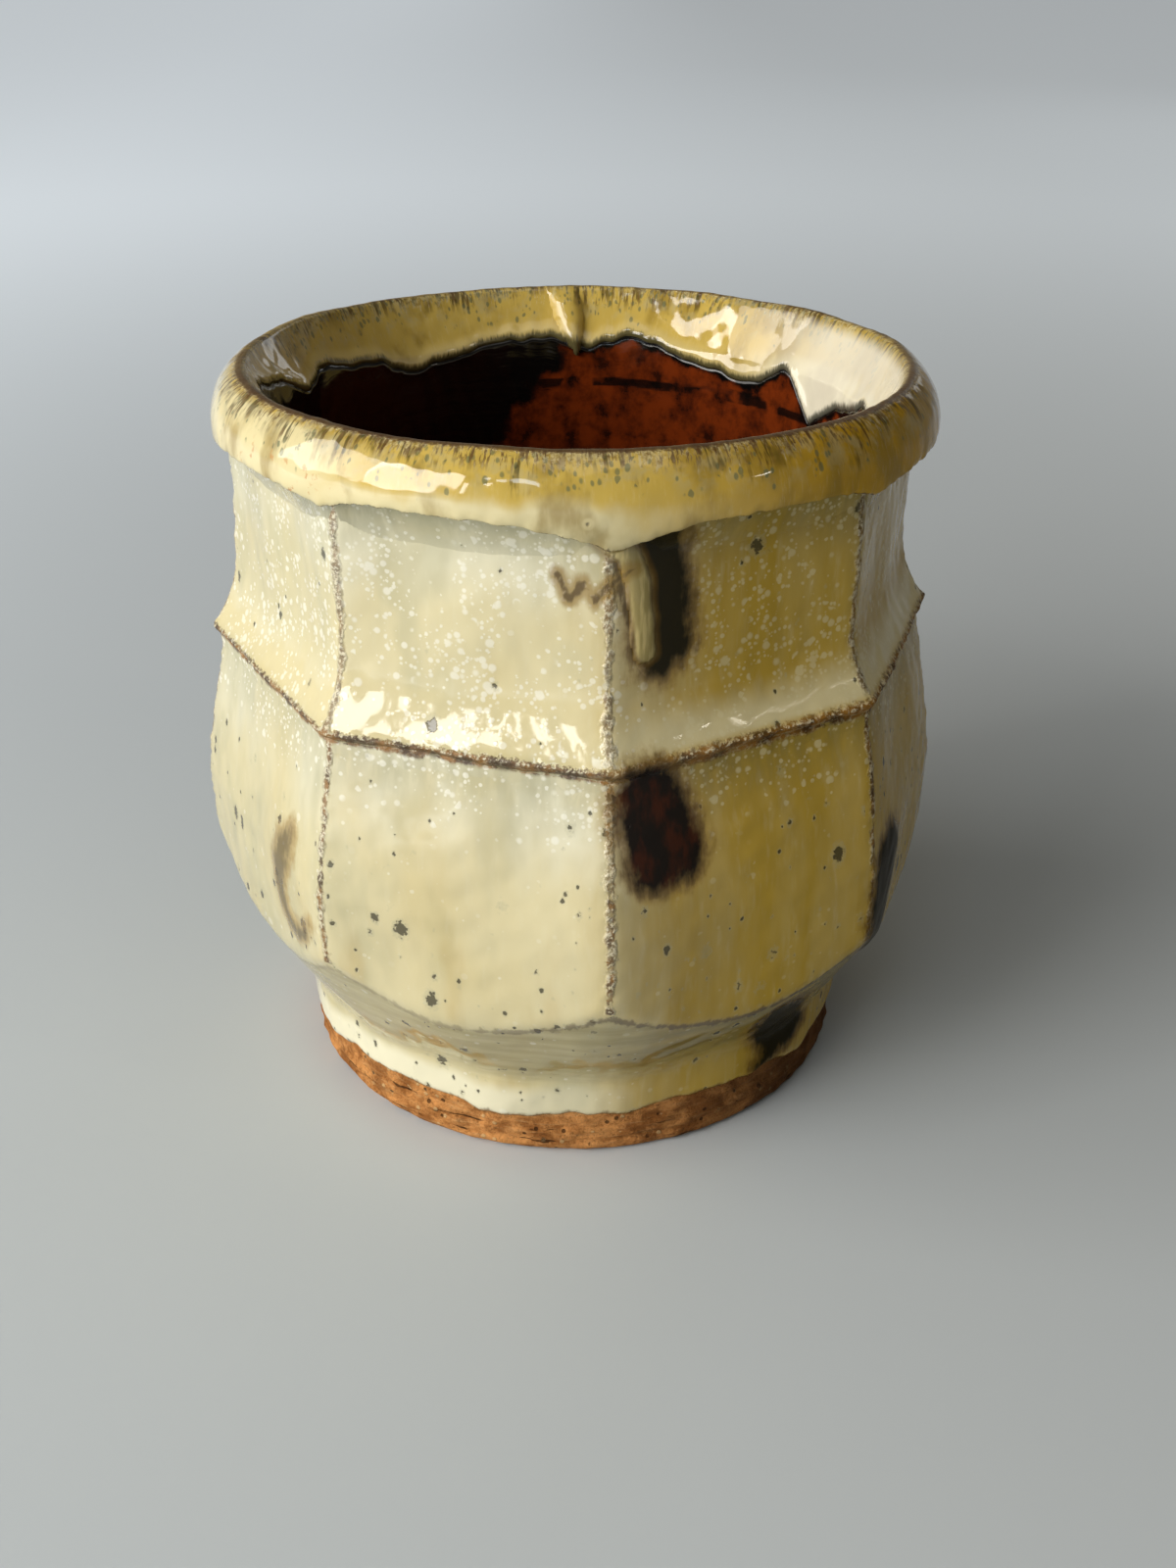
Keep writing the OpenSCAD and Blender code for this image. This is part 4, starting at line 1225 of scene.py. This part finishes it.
on_cream = row_number <= marks["flat"]
marks_at = np.minimum(dark_daub, pale_daub)
daub_lift = DAUB_LIFT * np.clip(-marks_at / DAUB_EDGE, -1, 1)
patch("iron_daubs", daub_lift, (marks_at < DAUB_EDGE) & on_cream, DAUB_DEPTH, "iron_daubs",
      cream_material("iron_brushwork"))
run_lift = RUN_LIFT * half_round(-run, RUN[2])
patch("glaze_run", run_lift, (run < STRIP_EDGE * RUN[2]) & on_cream, STRIP_DEPTH, "glaze_runs",
      cream_material("run_glaze"))
drop_lift = DROP_LIFT * half_round(-drop, drop_w) * np.clip(drop_down * 4, 0, 1)
patch("lip_drop", drop_lift, (drop < STRIP_EDGE * drop_w) & inside_rows, STRIP_DEPTH, "", amber)

# The clay under the glazes, down over the foot wall and the foot ring to the hollow
CLAY_IN = 0.62
CLAY_FOOT_R = FOOT_R - GLAZE_T
WALL_OVER_LINE = 1.2
under = np.arange(4, ROWS, 5)
profile = [(r, FOOT_HOLLOW) for r in (0.6, 8, 15, FOOT_RING_R - FOOT_HOLLOW)]
profile += [(FOOT_RING_R - FOOT_HOLLOW * (1 - s), FOOT_HOLLOW * (1 - s)) for s in (0.3, 0.6, 0.9, 1.0)]
profile += [(r, 0.0) for r in (26, 27.5, 29, 30.5, CLAY_FOOT_R - FOOT_BEVEL)]
profile += [(CLAY_FOOT_R - inward, up) for inward, up in FOOT_EDGE]
profile += [(CLAY_FOOT_R, z) for z in np.linspace(FOOT_BEVEL, glaze_line.max() + WALL_OVER_LINE, 22)]
foot_r, foot_z = [np.repeat(column[:, None], COLS, axis=1) for column in np.array(profile).T]

# Turning marks on the bare wall, and a short crack near its foot
CRACK_H = 1.7
CRACK_AZ = 12.0
CRACK_HALF = 20.0
CRACK_DEPTH = 0.35
bare = np.clip(foot_z / 0.8, 0, 1) * (foot_r > FOOT_RING_R + 2)
foot_r = foot_r + bare * (0.09 * ripple(az_rad, foot_z, 51, turns=70, per_mm=0.5)
                          + 0.05 * ripple(az_rad, foot_z, 52, turns=10, per_mm=1.2) - 0.08)
crack = bell(foot_z - CRACK_H - 0.12 * ripple(az_rad, 0, 53), 0.16)
foot_r = foot_r - CRACK_DEPTH * crack * np.clip(1 - np.abs(wrap(azimuth - CRACK_AZ)) / CRACK_HALF, 0, 1)
under_r, under_z = off_skin(under, -CLAY_IN)
clay_r = np.concatenate([foot_r, under_r])
clay_z = np.concatenate([foot_z, under_z])
count = clay_r.size
middles = [[0, 0, FOOT_HOLLOW], [0, 0, clay_z[-1].mean()]]
clay_points = np.concatenate([to_xyz(clay_r, clay_z).reshape(-1, 3), middles])
clay_faces = [*ring_faces(len(clay_r)).tolist(), *fan_faces(0, count, True),
              *fan_faces(count - COLS, count + 1, False)]
make_piece("stoneware", clay_points, clay_faces, {}, "stoneware_body", clay_material())

FLOOR_HALF = 3.0
floor_mesh = bpy.data.meshes.new("table_top")
floor_mesh.from_pydata([(-FLOOR_HALF, -FLOOR_HALF, 0), (FLOOR_HALF, -FLOOR_HALF, 0),
                        (FLOOR_HALF, FLOOR_HALF, 0), (-FLOOR_HALF, FLOOR_HALF, 0)], [], [(0, 1, 2, 3)])
floor_mesh.materials.append(floor_material())
place_in_scene("table_top", floor_mesh)


def window(name, turn, rise, distance, width, height, power, colour):
    """A soft rectangular light, aimed at the cup from an azimuth and an elevation."""
    light = bpy.data.lights.new(name, "AREA")
    light.shape = "RECTANGLE"
    light.size = width
    light.size_y = height
    light.energy = power
    light.color = colour
    lamp = place_in_scene(name, light)
    turn = math.radians(turn)
    rise = math.radians(rise)
    lamp.location = (distance * math.sin(turn) * math.cos(rise),
                     -distance * math.cos(turn) * math.cos(rise),
                     distance * math.sin(rise) + CUP_H * MM / 2)
    lamp.rotation_euler = (math.pi / 2 - rise, 0, turn)


DAYLIGHT = (1.0, 0.975, 0.93)
window("window_left", -52, 25, 0.9, 0.46, 0.56, 6.2, DAYLIGHT)
window("window_side", -82, 25, 0.9, 0.5, 0.56, 3.4, DAYLIGHT)
window("window_pane", -31, 22, 0.9, 0.05, 0.3, 0.4, DAYLIGHT)
window("window_high", -18, 38, 1.2, 0.26, 0.12, 0.6, (0.72, 0.86, 1.0))
window("window_right", 60, 26, 1.2, 0.1, 0.04, 0.3, (1.0, 0.93, 0.8))
window("window_back", 150, 22, 1.2, 0.2, 0.5, 0.4, (0.93, 0.97, 1.0))
window("ceiling", 20, 72, 1.0, 0.5, 0.5, 0.55, (1.0, 0.95, 0.86))

# A dim room that looks paler, near the horizon, to the camera and in gloss
ROOM_LIGHT = 0.088
ROOM_SEEN = 0.5
room = Shader(bpy.data.worlds.new("room"))
low_sky = room.span(room.part(room.out("ShaderNodeTexCoord", "Generated"), 2), 0.5, 0.0)
background = room.tree.nodes["Background"].inputs
room.feed(background[0], srgb(246, 236, 214))
room.feed(background[1], room.between(room.seen() * low_sky, ROOM_LIGHT, ROOM_SEEN))
bpy.context.scene.world = room.owner
bpy.context.scene.view_settings.view_transform = "Standard"

# Camera of the photograph's view, in front of the cup and above it
CAMERA_BACK = 178.3
CAMERA_UP = 124.1
CAMERA_PITCH = 27.86
CAMERA_YAW = 0.52
CAMERA_ROLL = 0.45
CAMERA_LENS = 38.25
CAMERA_SENSOR = 36.0
camera_data = bpy.data.cameras.new("camera")
camera_data.lens = CAMERA_LENS
camera_data.sensor_width = CAMERA_SENSOR
camera_data.clip_start = 0.01
camera = place_in_scene("camera", camera_data)
look = (Matrix.Rotation(-math.radians(CAMERA_YAW), 4, "Z")
        @ Matrix.Rotation(math.radians(90 - CAMERA_PITCH), 4, "X")
        @ Matrix.Rotation(math.radians(CAMERA_ROLL), 4, "Z"))
camera.matrix_world = Matrix.Translation((0, -CAMERA_BACK * MM, CAMERA_UP * MM)) @ look
bpy.context.scene.camera = camera
